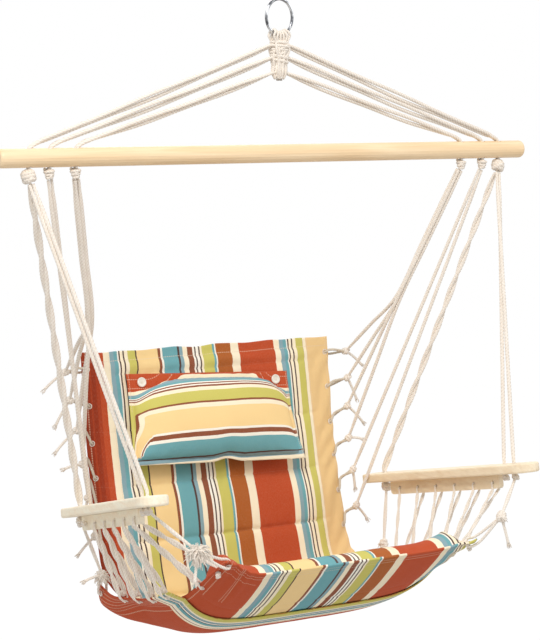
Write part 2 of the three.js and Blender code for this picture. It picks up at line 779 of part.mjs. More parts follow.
function lacingRail() {
  const top = -ARM_THICKNESS / 2 - FIT_GAP;
  const foot = -ARM_THICKNESS / 2 - RAIL_HEIGHT;
  const end = RAIL_START + railLength;
  const chamfer = RAIL_HEIGHT * 0.3;
  const shape = new THREE.Shape();
  shape.moveTo(RAIL_START, top);
  shape.lineTo(RAIL_START, foot + chamfer);
  shape.quadraticCurveTo(RAIL_START, foot, RAIL_START + chamfer, foot);
  shape.lineTo(end - chamfer, foot);
  shape.quadraticCurveTo(end, foot, end, foot + chamfer);
  shape.lineTo(end, top);
  shape.closePath();
  for (const place of railHolePlaces) {
    const hole = new THREE.Path();
    hole.absarc(place, -railHoleDrop, RAIL_HOLE / 2, 0, 2 * Math.PI, true);
    shape.holes.push(hole);
  }
  const settings = { depth: RAIL_THICKNESS, bevelEnabled: false, curveSegments: 5 };
  const rail = new THREE.ExtrudeGeometry(shape, settings);
  return rail.rotateX(Math.PI / 2).translate(0, RAIL_THICKNESS / 2, 0);
}

for (const [sideName, side] of sides) {
  const frame = armFrame(side);
  const arm = new THREE.Group();
  arm.applyMatrix4(new THREE.Matrix4().makeBasis(frame.along, frame.across, frame.up));
  arm.position.copy(frame.rear);
  chair.add(arm);
  piece(`${sideName}_armrest_board`, armrestBoard(), pine(), arm);
  piece(`${sideName}_lacing_rail`, lacingRail(), pine(), arm);
}

// The band under the seat follows the sling's outer face and turns up past its sides
const bandFront = slingAlongAtReach(0, -BAND_FRONT);
const bandRear = slingAlongAtDrop(BAND_REAR_DROP);
const flapShare = 1 + FLAP_OUT / (SLING_WIDTH / 2);

function bandMiddle(across, along) {
  const inside = THREE.MathUtils.clamp(across, -1, 1);
  const point = slingPoint(inside, along).addScaledVector(slingOutward(inside, along), BAND_BELOW);
  const beyond = (Math.abs(across) - Math.abs(inside)) / (flapShare - 1);
  const rear = 1 - ramp(along, bandRear, bandRear + FLAP_OUT * 2);
  point.x += Math.sign(across) * beyond * FLAP_OUT;
  point.z += beyond * (FLAP_RISE - FLAP_REAR_FALL * rear);
  return point;
}

// A place for a hole beside the hem of a fabric: the way out to the hem and the way down through it
function hemEye(surface, hemShare, along, inset, side) {
  const hem = surface(side * hemShare, along);
  const out = hem.clone().sub(surface(side * (hemShare - 0.02), along)).normalize();
  const forward = surface(side * hemShare, along + 1).sub(hem);
  const down = out.clone().cross(forward).multiplyScalar(side).normalize();
  return { hole: hem.addScaledVector(out, -inset), out, down };
}

// Lacing: through the rail, down to an eye, round the hem and up to the next hole of the rail
function laceEyes(side) {
  return LACE_EYES_BEHIND.map((behind, index) => {
    const along = slingAlongAtReach(side, behind);
    if (index < BAND_EYES) return hemEye(bandMiddle, flapShare, along, LACE_EYE_INSET, side);
    return hemEye(slingPoint, 1, along, LACE_EYE_INSET, side);
  });
}

function laceRoute(side) {
  const beside = RAIL_THICKNESS / 2 + LACE / 2 + FIT_GAP * 2;
  const foot = ARM_THICKNESS / 2 + RAIL_HEIGHT + FIT_GAP * 4;
  const reach = LACE * 1.25;
  const points = [];
  laceEyes(side).forEach(({ hole, out, down }, index) => {
    const place = railHolePlaces[index];
    if (index > 0) points.push(armPoint(side, place, beside, -foot));
    points.push(armPoint(side, place, beside, -railHoleDrop));
    points.push(armPoint(side, place, -beside, -railHoleDrop));
    points.push(armPoint(side, place, -beside, -foot));
    points.push(hole.clone().addScaledVector(down, -reach));
    points.push(hole.clone().addScaledVector(down, reach));
    const round = hole.clone().addScaledVector(out, LACE_EYE_INSET + LACE);
    points.push(round.addScaledVector(down, reach / 2));
  });
  const { hole, down } = laceEyes(side).at(-1);
  const knotDown = (SLING_HEM + LACE_KNOT) / 2 + FIT_GAP * 3;
  return [...points.slice(0, -2), hole.clone().addScaledVector(down, knotDown)];
}

const bandEyes = [];
for (const [sideName, side] of sides) {
  const route = laceRoute(side);
  const [first, second] = route;
  const beyond = first.clone().sub(second).normalize();
  const last = route[route.length - 1];
  laceEyes(side).forEach(({ hole, down }, index) => {
    (index < BAND_EYES ? bandEyes : slingEyes).push(eyeDrill(hole, down, LACE));
  });
  const knots = [
    ball(first.clone().addScaledVector(beyond, LACE / 2), LACE_KNOT, LACE_KNOT, second),
    ball(last, LACE_KNOT, LACE_KNOT, last),
  ];
  piece(`${sideName}_lacing`, geometryOf(joined([cord(route, LACE, 6), ...knots])), cotton());
}

// Outer cords: one to each front hole of the armrest and a pair to its rear hole. The foremost and
// the rear ones run on, past a knot below the board, to a knotted loop in the corner of the seat
function cornerLoop(eye, knot, diameter) {
  const reach = diameter * 1.1;
  const wide = diameter * 1.35;
  const way = eye.hole.clone().sub(knot).normalize();
  const beside = eye.down.clone().addScaledVector(way, -eye.down.dot(way));
  beside.setLength(diameter / 2 + FIT_GAP / 2);
  const pastHem = eye.hole.clone().addScaledVector(eye.out, CORNER_EYE_INSET + diameter);
  const backAtHem = eye.hole.clone().addScaledVector(eye.out, CORNER_EYE_INSET + diameter * 0.8);
  return [
    knot.clone().sub(beside),
    pastHem.addScaledVector(eye.down, -wide),
    eye.hole.clone().addScaledVector(eye.down, -wide),
    eye.hole.clone().addScaledVector(eye.down, reach),
    backAtHem.addScaledVector(eye.down, reach),
    knot.clone().add(beside),
  ];
}

function armCord(name, side, place, offset, section, knotSize, corner) {
  const knee = at(side * outerHoleOut, 0, kneeDrop);
  const top = armPoint(side, place, 0, ARM_THICKNESS / 2);
  const way = top.clone().sub(knee).normalize();
  const start = startAtKnot(knee, way, offset, OUTER_KNOT / 2 + FIT_GAP * 1.4);
  const boardKnot = armPoint(side, place, 0, -ARM_THICKNESS / 2 - FIT_GAP - knotSize / 2);
  const frame = armFrame(side);
  const parts = [
    tube([start, armPoint(side, place, 0, ARM_THICKNESS), boardKnot], section),
    ball(boardKnot, knotSize, knotSize, frame.up),
  ];
  if (corner) {
    const { eye, knot, tail } = corner;
    const loop = cornerLoop(eye, knot, CORD);
    corner.drills.push(eyeDrill(eye.hole, eye.down, CORD));
    parts.push(cord([boardKnot, knot], CORD, 6));
    parts.push(cord(loop, CORD, 6));
    parts.push(ball(knot, CORNER_KNOT, CORNER_KNOT_LENGTH, boardKnot.clone().sub(knot)));
    parts.push(cord([knot, knot.clone().add(tail)], CORD, 6));
  }
  piece(name, geometryOf(joined(parts)), cotton());
}

// Knots and tails by the seat's corners, from each corner's eye, chosen by hand
const frontKnotFromEye = [44, -32, 46];
const rearKnotFromEye = [18, -26, 44];
const frontTail = [10, -8, -40];
const rearTail = [20, -6, -34];
const sideOffset = CORD * 0.56;

for (const [sideName, side] of sides) {
  const [inner, outer] = [-side, side].map((way) => new THREE.Vector3(way * sideOffset, 0, 0));
  const mirror = ([x, y, z]) => new THREE.Vector3(x * side, y, z);
  const [rearPlace, frontPlace] = ARM_FRONT_HOLES_FROM_END.map((place) => ARM_LENGTH - place);
  const frontEye = hemEye(slingPoint, 1, slingLength - FRONT_CORNER_FROM_HEM, CORNER_EYE_INSET, side);
  const rearEye = hemEye(bandMiddle, flapShare, bandRear + REAR_CORNER_FROM_HEM, CORNER_EYE_INSET, side);
  const frontKnot = frontEye.hole.clone().add(mirror(frontKnotFromEye));
  const rearKnot = rearEye.hole.clone().add(mirror(rearKnotFromEye));
  const front = { drills: slingEyes, eye: frontEye, knot: frontKnot, tail: mirror(frontTail) };
  const rear = { drills: bandEyes, eye: rearEye, knot: rearKnot, tail: mirror(rearTail) };
  armCord(`${sideName}_front_arm_cord`, side, rearPlace, outer, roundSection(CORD), FRONT_ARM_KNOT);
  const round = roundSection(CORD);
  armCord(`${sideName}_front_corner_cord`, side, frontPlace, inner, round, FRONT_ARM_KNOT, front);
  const pair = pairSection(CORD, true);
  const middle = new THREE.Vector3();
  armCord(`${sideName}_rear_corner_cords`, side, ARM_REAR_HOLE_FROM_END, middle, pair, REAR_ARM_KNOT, rear);
}

// Fabric: the sling and the band, with passages for the cords
{
  const whole = solidOf(sheet(acrossPlaces, alongPlaces, slingFace(1), slingFace(-1)));
  piece("fabric_sling", geometryOf(cut(whole, slingEyes)), canvas());
}
{
  const steps = 9;
  const stepPlace = (step) => THREE.MathUtils.lerp(bandRear, bandFront, step / steps);
  const places = [...Array(steps + 1).keys()].map(stepPlace);
  const flap = (flapShare + 1) / 2;
  const halfShares = [0, 0.4, 0.66, 0.8, 0.88, 0.95, 1, flap, flapShare];
  const bandPlaces = [...halfShares.slice(1).reverse().map((share) => -share), ...halfShares];
  const face = (way) => (across, along) => {
    const inside = THREE.MathUtils.clamp(across, -1, 1);
    return bandMiddle(across, along).addScaledVector(slingOutward(inside, along), (way * BAND_CLOTH) / 2);
  };
  const whole = solidOf(sheet(bandPlaces, places, face(1), face(-1)));
  piece("seat_band", geometryOf(cut(whole, bandEyes)), canvas());
}

// Head pillow, flat behind and puffed in front, turned a little on the back's face. Its own frame
// has its origin in the middle of the top hem, +Y up the back and +Z toward the sitter
const pillowPlace = slingAlongAtDrop(PILLOW_DROP);
const pillow = new THREE.Group();
const pillowFoot = slingPoint(0, pillowPlace + PILLOW_HEIGHT + PILLOW_HEM_WIDTH);
const pillowWay = pillowFoot.sub(slingPoint(0, pillowPlace));
const pillowOut = new THREE.Vector3(0, -pillowWay.z, pillowWay.y).normalize();
{
  const facing = pillowOut.clone().negate();
  const sideways = new THREE.Vector3(1, 0, 0);
  const basis = new THREE.Matrix4().makeBasis(sideways, facing.clone().cross(sideways), facing);
  basis.multiply(new THREE.Matrix4().makeRotationZ(-THREE.MathUtils.degToRad(PILLOW_TILT_DEGREES)));
  pillow.applyMatrix4(basis);
  const clear = SLING_HEM / 2 + (BACK_PAD - SLING_HEM) * (1 - OUTER_CROWN_SHARE) + FIT_GAP + PILLOW_HEM / 2;
  pillow.position.copy(slingPoint(0, pillowPlace)).addScaledVector(pillowOut, -clear);
  pillow.position.x = PILLOW_OFF_CENTRE;
  chair.add(pillow);
}
const pillowDrawIn = 0.03;

function pillowFace(front) {
  const half = PILLOW_LENGTH / 2 - PILLOW_HEM_WIDTH;
  const top = PILLOW_HEM_WIDTH + PILLOW_FLAP;
  const middle = (top + PILLOW_HEIGHT) / 2;
  return (across, down) => {
    const x = across * (PILLOW_LENGTH / 2);
    const u = Math.min(Math.abs(x) / half, 1);
    const v = Math.min(Math.abs(down - middle) / (PILLOW_HEIGHT - middle), 1);
    const crown = PILLOW_CROWN * Math.max(1 - u ** 3, 0) ** 0.6 * Math.max(1 - v ** 2.4, 0) ** 0.6;
    const total = PILLOW_HEIGHT + PILLOW_HEM_WIDTH;
    const waist = 1 - pillowDrawIn * (1 - ((2 * down) / total - 1) ** 2);
    const depth = front ? PILLOW_HEM / 2 + crown : -PILLOW_HEM / 2;
    return new THREE.Vector3(x * waist, -down, depth);
  };
}

{
  const edge = 1 - (2 * PILLOW_HEM_WIDTH) / PILLOW_LENGTH;
  const halfShares = [0, 0.25, 0.48, 0.66, 0.79, edge - 0.035, edge, 1];
  const acrossPillow = [...halfShares.slice(1).reverse().map((share) => -share), ...halfShares];
  const body = PILLOW_HEIGHT - PILLOW_HEM_WIDTH - PILLOW_FLAP;
  const downShares = [0, 0.05, 0.16, 0.3, 0.5, 0.7, 0.84, 0.95, 1];
  const downPillow = [0, PILLOW_HEM_WIDTH];
  downShares.forEach((share) => downPillow.push(PILLOW_HEM_WIDTH + PILLOW_FLAP + body * share));
  downPillow.push(PILLOW_HEIGHT + PILLOW_HEM_WIDTH);
  const whole = solidOf(sheet(acrossPillow, downPillow, pillowFace(false), pillowFace(true)));
  piece("head_pillow", geometryOf(whole), cushion(), pillow);
  for (const [sideName, side] of sides) {
    const buttonRadius = BUTTON_DIAMETER / 2;
    const button = new THREE.CylinderGeometry(buttonRadius, buttonRadius, BUTTON_THICKNESS, 16);
    button.rotateX(Math.PI / 2);
    const height = PILLOW_HEM / 2 + FIT_GAP + BUTTON_THICKNESS / 2;
    button.translate((side * BUTTON_SPREAD) / 2, -BUTTON_FROM_TOP, height);
    piece(`${sideName}_pillow_button`, button, enamel(), pillow);
  }
}

export default chair;
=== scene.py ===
import math
import random

import bpy
import numpy as np
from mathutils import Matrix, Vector


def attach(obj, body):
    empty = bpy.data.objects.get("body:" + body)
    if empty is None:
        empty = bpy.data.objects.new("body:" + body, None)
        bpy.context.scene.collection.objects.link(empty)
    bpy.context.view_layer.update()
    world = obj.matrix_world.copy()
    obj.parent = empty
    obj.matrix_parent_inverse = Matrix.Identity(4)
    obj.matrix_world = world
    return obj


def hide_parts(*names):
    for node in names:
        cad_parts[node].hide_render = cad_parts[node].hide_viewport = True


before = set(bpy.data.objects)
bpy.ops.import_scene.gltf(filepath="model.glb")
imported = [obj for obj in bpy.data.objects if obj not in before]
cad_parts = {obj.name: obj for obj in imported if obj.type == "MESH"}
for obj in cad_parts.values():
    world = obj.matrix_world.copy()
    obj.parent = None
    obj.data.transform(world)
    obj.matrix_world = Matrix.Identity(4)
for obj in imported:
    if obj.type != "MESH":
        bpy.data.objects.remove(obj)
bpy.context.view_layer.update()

# %% [markdown]
# The photograph shows the chair from its left front, from the height of the rope head, through a
# long lens. A camera could be moved by eye until the picture fits. Here the bar's ends, the
# armrests and the fabric's corners are known in both, so its place was worked out from them.
# All lengths in this script are in metres.

# %% Camera
CAMERA_PLACE = Vector((-1.7833, -2.8925, -0.1451))
CAMERA_DOWN = 6.342
CAMERA_TURN = -31.4
LENS = 116.29

camera = bpy.data.objects.new("camera", bpy.data.cameras.new("camera"))
bpy.context.scene.collection.objects.link(camera)
camera.location = CAMERA_PLACE
camera.rotation_euler = (math.radians(90 - CAMERA_DOWN), 0, math.radians(CAMERA_TURN))
camera.data.lens = LENS
bpy.context.scene.camera = camera
print(f"camera: {CAMERA_PLACE.length:.2f} m from the hanging ring, {LENS:.0f} mm lens")

# %% [markdown]
# Everything on this chair hangs from the bar, so its places are given as out to a side, behind the
# bar and below it. The cord, its twist and the bar's holes are the same for many pieces, and they
# are the sizes that the solids were made with.

# %% Shared sizes and places
BAR_DROP = 0.248
CORD = 0.005
TWIST = 0.018
HOLES = {"inner": 0.370, "middle": 0.415, "outer": 0.450}
KNOT_DROP = 0.0284
SIDES = (("left", -1), ("right", 1))


def at(out, behind, drop):
    return Vector((out, behind, -BAR_DROP - drop))


def mirrored(point, side):
    return Vector((point.x * side, point.y, point.z))


def ramp(value, start, end):
    """A smooth step from 0 at the start to 1 at the end."""
    share = min(max((value - start) / (end - start), 0), 1)
    return share * share * (3 - 2 * share)


print(f"bar holes at {sorted(HOLES.values())} m from the middle")

# %% [markdown]
# A finish is a tree of shader nodes. The nodes could be added and joined by hand in the shader
# editor, but a pattern is easier to read as a formula. So a Value wraps one output of a node, and
# adding or multiplying values adds the Math nodes that do it.

# %% Shader formulas
class Value:
    def __init__(self, nodes, socket):
        self.nodes, self.socket = nodes, socket

    def op(self, kind, other=0.0, third=0.0):
        return self.nodes.node("Math", {0: self, 1: other, 2: third}, operation=kind)

    def __add__(self, other):
        return self.op("ADD", other)

    def __sub__(self, other):
        return self.op("SUBTRACT", other)

    def __rsub__(self, other):
        return self.nodes.node("Math", {0: other, 1: self}, operation="SUBTRACT")

    def __mul__(self, other):
        return self.op("MULTIPLY", other)

    def __truediv__(self, other):
        return self.op("DIVIDE", other)

    def __rtruediv__(self, other):
        return self.nodes.node("Math", {0: other, 1: self}, operation="DIVIDE")

    def __mod__(self, other):
        return self.op("FLOORED_MODULO", other)

    def __rmod__(self, other):
        return self.nodes.node("Math", {0: other, 1: self}, operation="FLOORED_MODULO")

    __radd__ = __add__
    __rmul__ = __mul__

    def above(self, other):
        return self.op("GREATER_THAN", other)

    def below(self, other):
        return self.op("LESS_THAN", other)

    def near(self, other, reach):
        return self.op("COMPARE", other, reach)

    def sin(self):
        return self.op("SINE")

# %% Node trees
class Nodes:
    def __init__(self, tree):
        self.tree = tree

    def plug(self, socket, value):
        if isinstance(value, Value):
            self.tree.links.new(value.socket, socket)
        else:
            socket.default_value = value

    def node(self, kind, inputs=None, output=0, stops=(), steps=False, **settings):
        """Adds a node. Its settings and a colour ramp's stops come first, then its sockets."""
        node = self.tree.nodes.new("ShaderNode" + kind)
        for key, value in settings.items():
            setattr(node, key, value)
        if stops:
            ramp = node.color_ramp
            ramp.interpolation = "CONSTANT" if steps else "LINEAR"
            while len(ramp.elements) < len(stops):
                ramp.elements.new(1.0)
            for element, (place, colour) in zip(ramp.elements, stops):
                element.position, element.color = place, colour
        for key, value in (inputs or {}).items():
            self.plug(node.inputs[key], value)
        return Value(self, node.outputs[output])

    def ramp(self, value, stops, steps=False):
        return self.node("ValToRGB", {0: value}, stops=stops, steps=steps)

    def mix(self, share, first, second, blend="MIX"):
        inputs = {0: share, 6: first, 7: second}
        return self.node("Mix", inputs, output=2, data_type="RGBA", blend_type=blend)

    def noise(self, scale, detail=3.0, vector=None, stretch=(1, 1, 1)):
        place = vector or self.node("TexCoord", output="Object")
        place = self.node("Mapping", {"Vector": place, "Scale": stretch})
        return self.node("TexNoise", {"Vector": place, "Scale": scale, "Detail": detail})

    def bump(self, height, strength, distance, under=None):
        inputs = {"Height": height, "Strength": strength, "Distance": distance}
        if under:
            inputs["Normal"] = under
        return self.node("Bump", inputs)

# %% Materials
def input_name(key):
    return key.replace("_", " ").title().replace("Ior", "IOR")


class Look(Nodes):
    """A material. Its fixed values are given at the start, and finish plugs in what varies."""

    def __init__(self, name, **settings):
        self.material = bpy.data.materials.new(name)
        self.material.use_nodes = True
        super().__init__(self.material.node_tree)
        self.shader = self.tree.nodes["Principled BSDF"]
        for key, value in settings.items():
            self.shader.inputs[input_name(key)].default_value = value

    def cloth(self):
        """The two coordinates that every modelled mesh carries: across and along, in metres."""
        split = self.node("SeparateXYZ", {0: self.node("UVMap", uv_map="cloth")}).socket.node
        return Value(self, split.outputs[0]), Value(self, split.outputs[1])

    def finish(self, **values):
        for key, value in values.items():
            self.plug(self.shader.inputs[input_name(key)], value)
        return self.material


def rgb(red, green, blue):
    """A screen colour from 0 to 255 as the linear colour that Blender works with."""
    linear = [((c / 255 + 0.055) / 1.055) ** 2.4 if c > 10 else c / 3295 for c in (red, green, blue)]
    return (*linear, 1.0)


print(f"a screen grey of 128 is {rgb(128, 128, 128)[0]:.3f} in linear light")

# %% [markdown]
# The cords are soft cotton rope of three strands, almost white, with a warm shadow in the grooves.
# The mesh has the strands. The look adds the fine fibres and paints shade into the grooves between
# the strands. The eyes of the back cords are darker and greyer than the rest of the cord, and the
# bound tip of the rope head is greyer, as on the real chair.

# %% Rope looks
STRANDS = 3


def rope_look(name, tone, deep):
    look = Look(name, roughness=0.92, sheen_weight=0.3, sheen_roughness=0.5, specular_ior_level=0.15)
    run, around = look.cloth()
    fibre = 0.5 + 0.5 * (run * 2600.0 + around * math.tau * 7.0).sin()
    # Painted shade: the colour darkens in the grooves between the strands.
    painted_groove_shade = 0.5 + 0.5 * (around * (math.tau * STRANDS)).sin()
    fuzz = look.noise(1800.0, 2.0)
    colour = look.mix(look.noise(40.0, 3.0), deep, tone)
    colour = look.mix(fibre * 0.2, colour, rgb(214, 200, 184))
    colour = look.mix(painted_groove_shade * painted_groove_shade * 0.55, colour, rgb(214, 196, 178))
    return look.finish(base_color=colour, normal=look.bump(fibre * 0.4 + fuzz, 0.35, 0.0003))


rope_material = rope_look("cotton_rope", rgb(255, 250, 242), rgb(242, 232, 220))
lace_material = rope_look("cotton_lace", rgb(255, 250, 242), rgb(242, 231, 217))
# The eyes are darker and greyer than the rest of the cord.
eye_material = rope_look("rope_eye", rgb(226, 216, 198), rgb(180, 168, 146))
tip_material = rope_look("rope_tip", rgb(206, 204, 200), rgb(160, 158, 156))
ropes = (rope_material, lace_material, eye_material, tip_material)
print("rope looks:", ", ".join(look.name for look in ropes))

# %% [markdown]
# The bar and the armrests are varnished pine. A wood picture would repeat and stretch. Noise that is
# pulled out along the board, with a sine wave through it, gives year rings that never repeat. Each
# board has its own turn, so that the grain follows its length.

# %% Wood looks
LEFT_GRAIN, RIGHT_GRAIN = math.radians(82), math.radians(97)


def wood_look(name, light, dark, turn=0.0):
    look = Look(name, coat_weight=0.1, coat_roughness=0.35, specular_ior_level=0.3)
    place = look.node("TexCoord", output="Object")
    place = look.node("Mapping", {"Vector": place, "Rotation": (0, 0, turn)})
    bend = look.noise(3.0, 2.0, place, (0.6, 4, 4))
    rings = look.noise(22.0, 4.0, place, (0.07, 1.5, 1.5))
    bands = 0.5 + 0.5 * ((rings + bend * 0.4) * 36.0).sin()
    pores = look.noise(420.0, 3.0, place, (0.03, 1, 1))
    tone = look.noise(5.0, 2.0, place, (0.3, 2, 2))
    colour = look.mix(bands * 0.6, light, dark)
    colour = look.mix((tone - 0.3) * 0.6, colour, light)
    colour = look.mix((pores - 0.45) * 0.45, colour, rgb(186, 146, 104))
    grain = look.bump(pores + bands * 0.3, 0.18, 0.0004)
    return look.finish(base_color=colour, roughness=0.4 + pores * 0.25, normal=grain)


pine = wood_look("pine", rgb(250, 223, 184), rgb(238, 204, 158))
tan_pine = wood_look("tan_pine", rgb(250, 234, 206), rgb(238, 216, 182), RIGHT_GRAIN)
pale_pine = wood_look("pale_pine", rgb(255, 246, 224), rgb(252, 232, 202), LEFT_GRAIN)
print("wood looks:", ", ".join(look.name for look in (pine, tan_pine, pale_pine)))

# %% [markdown]
# The ring is bright steel and the buttons are white plastic. Both need little: the steel has painted
# reflections, dark and bright patches in its colour, and a slightly uneven shine, so that it doesn't
# look like a mirror, and the buttons a faint marbling.

# %% Steel and button looks
# Painted reflections: dark and bright patches of noise in the steel's colour.
STEEL_PAINTED_REFLECTIONS = [(0.4, (0.16, 0.165, 0.18, 1)), (0.6, (0.72, 0.73, 0.75, 1))]
steel_look = Look("steel", metallic=1.0, roughness=0.16)
steel_look.finish(base_color=steel_look.ramp(steel_look.noise(70.0, 2.0), STEEL_PAINTED_REFLECTIONS),
                  roughness=0.08 + steel_look.noise(60.0) * 0.12,
                  normal=steel_look.bump(steel_look.noise(300.0), 0.05, 0.0002))
button_look = Look("button", roughness=0.28, coat_weight=0.4)
marbling = button_look.mix(button_look.noise(80.0), rgb(246, 242, 232), rgb(226, 218, 202))
button_look.finish(base_color=marbling)
print("other looks:", ", ".join(look.material.name for look in (steel_look, button_look)))

# %% [markdown]
# A cord here is one mesh of several tubes: its span, knots, tail and eye. Blender's curves with a
# bevel make round tubes quickly, but a real rope shows its twisted strands at its outline. So a
# Soup gathers tubes whose outline has one lobe for each strand and turns as it goes along, and
# makes one object of them at the end.

# %% Points along a line
def run_length(points):
    return sum((b - a).length for a, b in zip(points, points[1:]))


def resample(points, step):
    lengths = [0.0]
    for a, b in zip(points, points[1:]):
        lengths.append(lengths[-1] + (b - a).length)
    count = max(int(round(lengths[-1] / step)), 3)
    out, place = [], 0
    for index in range(count + 1):
        want = lengths[-1] * index / count
        while place < len(points) - 2 and lengths[place + 1] < want:
            place += 1
        span = lengths[place + 1] - lengths[place]
        out.append(points[place].lerp(points[place + 1], (want - lengths[place]) / span if span else 0))
    return out


def carry(points):
    """The tangent and two sideways directions at each point, without needless turning."""
    frames, first = [], None
    for index in range(len(points)):
        tangent = (points[min(index + 1, len(points) - 1)] - points[max(index - 1, 0)]).normalized()
        if first is None:
            first = tangent.orthogonal().normalized()
        first = (first - tangent * first.dot(tangent)).normalized()
        frames.append((tangent, first.copy(), tangent.cross(first)))
    return frames

# %% Smooth curves
CURVE_SAMPLES = 60


class Spline:
    """A centripetal curve, which passes its points without loops. The solids' curves are the same."""

    def __init__(self, points):
        self.points = points
        samples = CURVE_SAMPLES * (len(points) - 1)
        places = [self.place(i / samples) for i in range(samples + 1)]
        self.lengths = [0.0]
        for a, b in zip(places, places[1:]):
            self.lengths.append(self.lengths[-1] + (b - a).length)
        self.length = self.lengths[-1]

    def place(self, share):
        points, last = self.points, len(self.points) - 1
        position = min(max(share, 0.0), 1.0) * last
        index = min(int(position), last - 1)
        weight = position - index
        p1, p2 = points[index], points[index + 1]
        p0 = points[index - 1] if index else p1 * 2 - p2
        p3 = points[index + 2] if index + 2 <= last else p2 * 2 - p1
        d0, d1, d2 = [max((b - a).length_squared ** 0.25, 1e-4) for a, b in ((p0, p1), (p1, p2), (p2, p3))]
        t1 = ((p1 - p0) / d0 - (p2 - p0) / (d0 + d1) + (p2 - p1) / d1) * d1
        t2 = ((p2 - p1) / d1 - (p3 - p1) / (d1 + d2) + (p3 - p2) / d2) * d1
        w2, w3 = weight * weight, weight ** 3
        return p1 + t1 * weight + (p2 * 3 - p1 * 3 - t1 * 2 - t2) * w2 + (p1 * 2 - p2 * 2 + t1 + t2) * w3

    def share(self, length):
        return float(np.interp(length, self.lengths, np.linspace(0, 1, len(self.lengths))))

    def along(self, length):
        return self.place(self.share(length))


def smooth(points, step=0.0025):
    curve = Spline([Vector(p) for p in points])
    count = max(int(curve.length / step), 6)
    return [curve.along(curve.length * i / count) for i in range(count + 1)]

# %% A soup of tubes
LOOSE_TWIST = 0.013
GROOVE = 0.2


class Soup:
    """Faces of one object, with the cloth coordinates of each place and the material of each face."""

    def __init__(self):
        self.places, self.faces, self.cloth, self.slots = [], [], [], []

    def grid(self, rings, caps=True, uv=None, slot=0):
        """Joins closed rows of places into faces. uv gives each place's cloth coordinates."""
        base, count = len(self.places), len(rings[0])
        for r, ring in enumerate(rings):
            for c, place in enumerate(ring):
                self.places.append(tuple(place))
                self.cloth.append(uv[r][c] if uv else (r * 0.001, c / count))
        for r in range(len(rings) - 1):
            for c in range(count):
                d = (c + 1) % count
                a, b = base + r * count, base + (r + 1) * count
                self.faces.append((a + c, a + d, b + d, b + c))
                self.slots.append(slot)
        if caps:
            last = base + (len(rings) - 1) * count
            self.faces += [tuple(range(base + count - 1, base - 1, -1)), tuple(range(last, last + count))]
            self.slots += [slot, slot]

    def sew_ends(self, base, rows, width):
        """Closes the first and last row of a sheet whose rows run out on one face and back on the other."""
        for row in (0, rows - 1):
            start = base + row * 2 * width
            for c in range(width - 1):
                a, d = start + c, start + 2 * width - 2 - c
                self.faces.append((a, d + 1, d, a + 1) if row == 0 else (a, a + 1, d, d + 1))
                self.slots.append(0)

    def tube(self, points, radius, lobes=STRANDS, pitch=LOOSE_TWIST, step=0.0019, sides=12, slot=0,
             taper=None, girth=None, full=0.0):
        """A rope. taper gives a factor for its radius by share of its length, and girth by place.
        full is how much fuller a hanging span is than its pulled ends."""
        points = resample([Vector(p) for p in points], step)
        whole, run = run_length(points), 0.0
        rings, uv = [], []
        for index, (point, (_, first, second)) in enumerate(zip(points, carry(points))):
            if index:
                run += (point - points[index - 1]).length
            share = index / (len(points) - 1)
            size = radius * (taper(share) if taper else 1.0) * (girth(point) if girth else 1.0)
            size *= 1 + full * ramp(min(share, 1 - share) * whole, 0.012, 0.05)
            ring, row = [], []
            for side in range(sides):
                angle = math.tau * side / sides
                lobe = abs(math.cos((angle - math.tau * run / pitch) * lobes / 2)) if lobes else 1.0
                reach = size * (1 - GROOVE * (1 - lobe))
                ring.append(point + first * (math.cos(angle) * reach) + second * (math.sin(angle) * reach))
                row.append((run, side / sides - (run / pitch if lobes else 0)))
            rings.append(ring)
            uv.append(row)
        self.grid(rings, uv=uv, slot=slot)

    def make(self, name, body, materials, slot):
        """The object: it rides on a body of the solids. Its slot is not used."""
        mesh = bpy.data.meshes.new(name)
        mesh.from_pydata(self.places, [], self.faces)
        layer = mesh.uv_layers.new(name="cloth")
        corners = np.empty(len(mesh.loops), dtype=np.int32)
        mesh.loops.foreach_get("vertex_index", corners)
        layer.data.foreach_set("uv", np.array(self.cloth, dtype=np.float32)[corners].ravel())
        for material in materials:
            mesh.materials.append(material)
        mesh.polygons.foreach_set("material_index", self.slots)
        mesh.polygons.foreach_set("use_smooth", [True] * len(mesh.polygons))
        mesh.update()
        obj = bpy.data.objects.new(name, mesh)
        bpy.context.scene.collection.objects.link(obj)
        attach(obj, body)
        print(f"{name}: {len(self.faces)} faces on the {body}")
        return obj

# %% [markdown]
# The knots are tight overhand knots, wrapped once or twice more. A knot could be tied by a
# simulation, but a tight one shows only a few crossing turns. A closed curve with three lobes,
# squeezed into a small egg, gives those, and a coil round it gives the wraps.

# %% Knots
KNOT_TWIST = 0.011
KNOT_POINTS = 48
KNOT_FLATNESS = 0.75


def knot(soup, centre, along, size, turn=0.0):
    """A tight overhand knot: a three-lobed closed curve in a small egg. size is its width, its
    length along the axis and its strand's radius."""
    across, length, radius = size
    along = Vector(along).normalized()
    first = along.orthogonal().normalized()
    second = along.cross(first)
    half, tall = across / 2 - radius, length / 2 - radius
    points = []
    for index in range(KNOT_POINTS + 1):
        t = math.tau * index / KNOT_POINTS
        a = (math.sin(t) + 2 * math.sin(2 * t)) / 3
        b = (math.cos(t) - 2 * math.cos(2 * t)) / 3
        x = (a * math.cos(turn) - b * math.sin(turn)) * half
        y = (a * math.sin(turn) + b * math.cos(turn)) * tall
        points.append(centre + first * x + along * y - second * (math.sin(3 * t) * half * KNOT_FLATNESS))
    soup.tube(points, radius, pitch=KNOT_TWIST, step=0.0014, sides=9)


